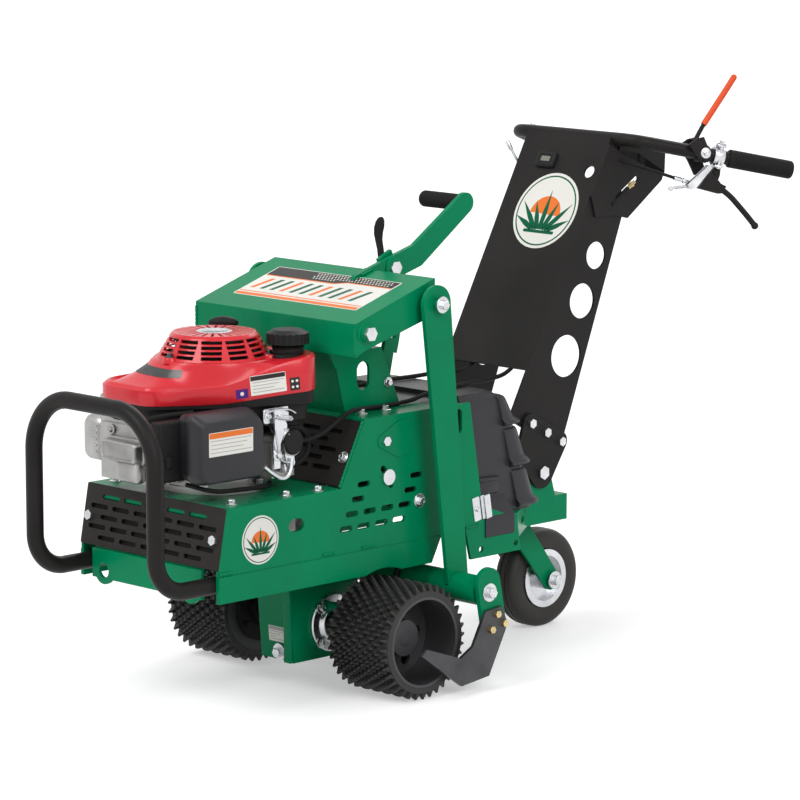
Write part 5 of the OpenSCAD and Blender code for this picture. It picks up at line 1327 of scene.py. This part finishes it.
# %% Levers
LEVER_THICK = 12.0
HAND_PIN = Vector((CLAMP_ALONG, 0, -30))
HAND_ROOT = [(-2, 11), (8, 9), (9, -4), (7, -13), (14, -19), (25, -22), (20, -36), (13, -38), (-29, -35)]
HAND_ARM = [(10, -27), (20, -29.5), (38, -39), (55, -51.5), (76, -68), (94, -83)]
CLAMP_ARM = [(-16, 12), (-6, 12), (-33, -34), (-44, -40), (-52, -33), (-36, -14)]
DRIVE_AT = 132 * AHEAD
DRIVE_FAR, DRIVE_NEAR, DIP_R = 30.0, -20.5, 5.8
NEAR_PLATE = [(-36, 9), (-20, 24), (-8, 29), (6, 8), (13, -8), (8, -16), (-8, -12)]
DRIVE_PLATE = [(-36, 9), (-20, 24), (-8, 29), (6, 8), (13, -8), (20, -22), (16, -37), (4, -40), (-13, -16)]
DRIVE_ROD = [(-16, 22), (-12, 34), (-5, 53), (0, 64)]
DRIVE_DIP = [(-5, 53), (11, 88), (27, 123), (38.6, 149.2)]


def flat_points(points, at):
    """Points of along and up, set out from a place of a leg's frame."""
    return [Vector(at) + Vector((a, 0, u)) for a, u in points]


def ball_profile(radius):
    """Half a circle, to be turned into a ball."""
    angles = [math.radians(turn) for turn in range(0, 181, 15)]
    return [(radius * math.sin(angle), -radius * math.cos(angle)) for angle in angles]


def make_hand_lever():
    """A cast hand lever, straight in its leg's frame."""
    shape = bmesh.new()
    half = LEVER_THICK / 2 * LEFT
    add_plate(shape, HAND_ROOT, LEVER_THICK, HAND_PIN + half, -LEFT, UP)
    add_tube(shape, flat_points(HAND_ARM, HAND_PIN), 5.5, 14)
    add_turned(shape, ball_profile(7), HAND_PIN + Vector((95, 0, -84)), LEFT, 20)
    for way in (half, -half):
        add_turned(shape, [(0, 0), (5.5, 0), (5.5, 1.6), (4.4, 2.4), (0, 2.4)], HAND_PIN + way, way, 20)
    return shape


def make_clamp():
    """A split clamp round the bar, its two ears and bolt, and the arm that carries the hand lever."""
    shape = bmesh.new()
    ring = [(12.6, -10), (17, -10), (17.6, -9), (17.6, 9), (17, 10), (12.6, 10)]
    add_turned(shape, ring, (CLAMP_ALONG, 0, 0), AHEAD, 40)
    for up in (17, -22):
        add_box(shape, (CLAMP_ALONG - 9, -18, up), (CLAMP_ALONG + 9, -4, up + 5), 1.5)
    add_tube(shape, [(CLAMP_ALONG, -14, -24), (CLAMP_ALONG, -14, 24)], 3.4, 12, 1)
    add_bolt(shape, (CLAMP_ALONG, -14, 22), UP, 9)
    for y in (9.2, -6.6):
        add_plate(shape, CLAMP_ARM, 2.6, HAND_PIN + y * LEFT, -LEFT, UP)
    add_box(shape, HAND_PIN + Vector((-50, -8, -38)), HAND_PIN + Vector((-38, 8, -30)), 2)
    return shape


for name, leg in (("left", LEG_LEFT), ("right", LEG_RIGHT)):
    piece("hand_lever_casting_" + name, make_hand_lever(), black_paint, ["hand_lever_" + name],
          "hand_" + name, [leg])
piece("hand_clamps", make_clamp(), zinc, ["lever_clamps"], frames=[LEG_LEFT, LEG_RIGHT])
shape = bmesh.new()
ring = [(12.6, -11), (16, -11), (16.6, -10), (16.6, 10), (16, 11), (12.6, 11)]
add_turned(shape, ring, DRIVE_AT, AHEAD, 40)
add_tube(shape, [DRIVE_AT + y * LEFT for y in (12, 25.5)], 8, 20, 1)
piece("drive_sleeve", shape, black_paint, ["lever_clamps"], frames=[LEG_LEFT])

shape = bmesh.new()
for outline, thick, y in ((DRIVE_PLATE, 8, DRIVE_FAR + 4), (NEAR_PLATE, 5, DRIVE_NEAR + 2.5)):
    add_plate(shape, outline, thick, DRIVE_AT + y * LEFT, -LEFT, UP, 1)
add_box(shape, DRIVE_AT + Vector((-17, DRIVE_NEAR - 2, 21)), DRIVE_AT + Vector((-7, DRIVE_FAR + 3, 26)), 1.5)
add_tube(shape, flat_points(DRIVE_ROD, DRIVE_AT), 4.2, 14)
piece("drive_lever_plate", shape, black_paint, ["drive_lever"], "drive_control", [LEG_LEFT])
shape = bmesh.new()
dip = flat_points(DRIVE_DIP, DRIVE_AT)
add_tube(shape, dip, DIP_R, 18)
add_turned(shape, ball_profile(DIP_R), dip[-1], LEFT, 20)
piece("drive_lever_dip", shape, orange_dip, ["drive_lever"], "drive_control", [LEG_LEFT])
shape = bmesh.new()
add_bolt(shape, DRIVE_AT + (DRIVE_NEAR - 2.5) * LEFT, -LEFT, 10)
piece("drive_lever_nut", shape, zinc, body="drive_control", frames=[LEG_LEFT])

CAM_AT = Vector((-152, 19.5, 721))
CAM_RINGS = [(0, 6, 8, 5), (-2, 18, 7.5, 4.4), (-4, 30, 7.5, 4), (-8, 46, 8.6, 3.6), (-9, 58, 11, 3.5),
             (-7, 70, 12.6, 3.4), (-5, 80, 11, 3), (-3.6, 86, 7, 2.4), (-3, 88, 3, 1.4)]
shape = bmesh.new()
add_turned(shape, [(0, -11), (8, -11), (9, -10), (9, 10), (8, 11), (0, 11)], CAM_AT, AHEAD, 28)
add_loft(shape, [[CAM_AT + Vector((wide * u, y + thick * v, z)) for u, v in arc(1, 24)]
                 for y, z, wide, thick in CAM_RINGS])
piece("cam_paddle", shape, dark_plastic, ["cam_lever"], body="cam")
print("levers: two castings, one dipped rod and one paddle")

# %% [markdown]
# ## Starter grip and filler neck
# The starter rope ends in a T-shaped moulded grip that rests on the shroud, and the fuel cap turns on a
# short ribbed neck. Both are seen against the pale sky of the picture, so their outlines matter more than
# their faces.

# %% Starter grip and neck
STARTER_TURN = 135.0
STARTER_HEAD = [(-20, 9, 8), (-18, 20, 10.5), (-15, 26, 12), (-10, 27, 12.5), (-6, 24, 11.5), (-3, 18, 9),
                (-1, 11, 6), (-0.2, 5, 3)]
NECK = [(0, 0), (29, 0), (30, 3), (27, 6), (27, 9), (29, 11), (27, 13), (27, 17), (29, 19), (27, 21), (0, 21)]


def make_starter_grip():
    """A T grip: a stem that swells into a long rounded head."""
    low, high = drawn_box("starter_grip")
    top = Vector(((low.x + high.x) / 2, (low.y + high.y) / 2, high.z))
    along = spoke(STARTER_TURN).to_3d()
    across = Vector((-along.y, along.x, 0))
    stem = [(low.z - high.z, 3, 3), (601 - high.z, 3, 3), (602 - high.z, 7, 7), (-30, 7.5, 7.5)]
    shape = bmesh.new()
    add_loft(shape, [[top + drop * UP + wide * u * along + deep * v * across for u, v in arc(1, 36)]
                     for drop, wide, deep in stem + STARTER_HEAD])
    return shape


piece("starter_handle", make_starter_grip(), dark_plastic, ["starter_grip"], "starter")
shape = bmesh.new()
low, high = drawn_box("fuel_cap")
middle = (low + high) / 2
add_turned(shape, NECK, (middle.x, middle.y, low.z - 25), UP, 40)
piece("filler_neck", shape, dark_plastic)
print("starter grip and filler neck")

# %% [markdown]
# ## Drum treads and axle bearings
# Each drum wears a rubber sleeve with rows of pointed studs. Every row sits half a pitch further round, and
# low ridges run from stud to stud. One stud is lofted as a star with its long arms along those ridges, and
# set out on each place of the lattice; cutting the pattern out of a sleeve would be slower and heavier.
# Where the axle leaves its chain case, a bolted bearing flange closes the hole.

# %% Treads and bearings
AXLE = Vector((0.0, 0.0, 102.0))
DRUM_R, DRUM_IN, DRUM_WIDE = 102.0, 137.5, 144.5
SLEEVE_IN, SLEEVE_OUT = 80.2, 90.0
STUD_ROWS, STUDS = 11, 36
STUD_ANGLES = (0, 32, 90, 148, 180, 212, 270, 328)
STUD_LEVELS = [(SLEEVE_OUT - 1, 8.4, 4.6), (SLEEVE_OUT + 4, 5.8, 3.5), (DRUM_R - 1, 2.7, 2.2),
               (DRUM_R - 0.1, 1.9, 1.6)]
BEARING = [(15.6, 45), (52, 45), (52, 51), (50, 53), (37, 54), (34, 62), (31, 64), (15.6, 64)]


def add_stud(shape, along, turn):
    """One stud: a star that narrows to a blunt tip."""
    x, z = spoke(turn)
    out, round_way = Vector((x, 0, z)), Vector((-z, 0, x))
    rings = []
    for reach, long, short in STUD_LEVELS:
        ring = []
        for k, angle in enumerate(STUD_ANGLES):
            u, v = (long if k % 2 else short) * spoke(angle)
            ring.append(AXLE + reach * out + (along + u) * LEFT + v * round_way)
        rings.append(ring)
    add_loft(shape, rings)


shape = bmesh.new()
for side in (1, -1):
    ends = (side * DRUM_IN, side * (DRUM_IN + DRUM_WIDE))
    add_hoop(shape, [(SLEEVE_IN, ends[0]), (SLEEVE_OUT, ends[0]), (SLEEVE_OUT, ends[1]),
                     (SLEEVE_IN, ends[1])], AXLE)
    for row in range(STUD_ROWS):
        along = side * (DRUM_IN + (row + 0.5) * DRUM_WIDE / STUD_ROWS)
        for k in range(STUDS):
            add_stud(shape, along, 360 * (k + 0.5 * (row % 2)) / STUDS)
piece("drum_tread_studs", shape, tread_rubber, ["drum_treads"], "drive_drums")
shape = bmesh.new()
for side in (1, -1):
    add_hoop(shape, [(r, side * h) for r, h in BEARING], AXLE, 64)
    for turn in (45, 135, 225, 315):
        x, z = 44 * spoke(turn)
        add_bolt(shape, AXLE + Vector((x, side * 53, z)), side * LEFT, 11)
seat_bolt(shape, "chain_case", (300, 4, 54.5), -AHEAD, 16)
piece("axle_bearings", shape, zinc)
print("treads:", 2 * STUD_ROWS * STUDS, "studs")

# %% [markdown]
# ## Blade fasteners
# The blade takes the wear, so it is bolted to its arms by yellow-plated bolts, and the rocking shaft ends
# in a large nut on a wide washer.

# %% Blade bolts and rocker nuts
shape = bmesh.new()
for side in (1, -1):
    for x, z in ((-150, 134), (-168, 115), (-136, 108)):
        seat_bolt(shape, "sod_blade", (x, side * 400, z), -side * LEFT, 12, washer=False)
piece("blade_bolts", shape, gold_zinc, body="blade")
shape = bmesh.new()
for side in (1, -1):
    spot, outward = touch("rocker_shaft", (-138, side * 400, 173), -side * LEFT)
    add_bolt(shape, spot, outward, 17)
piece("rocker_nuts", shape, zinc, body="blade")
print("blade: six bolts and two nuts")

# %% [markdown]
# ## Caster tyre and axle
# The solid rubber tyre has rounded shoulders and two shallow grooves. It is turned in one closed profile,
# so its bore stays open for the rim. An axle bolt closes each side of the fork.

# %% Tyre
CASTER = (-575.0, 0.0, 93.0)
TYRE_HALF = [(56, 22), (62, 24.2), (72, 25), (82, 24.2), (88, 21), (91.5, 16.5), (92.8, 12.5), (93, 10),
             (93, 8), (90.8, 7.4), (90.8, 5.6), (93, 5)]
shape = bmesh.new()
add_hoop(shape, [(r, -h) for r, h in TYRE_HALF] + TYRE_HALF[::-1], CASTER)
piece("caster_tyre_moulding", shape, tyre_rubber, ["caster_tyre"], "wheel")
shape = bmesh.new()
for side in (1, -1):
    seat_bolt(shape, "caster_fork", (CASTER[0], side * 150, CASTER[2]), -side * LEFT, 17)
piece("caster_axle_bolts", shape, zinc, body="caster")
print("tyre: two grooves, radius", TYRE_HALF[-1][0], "mm")
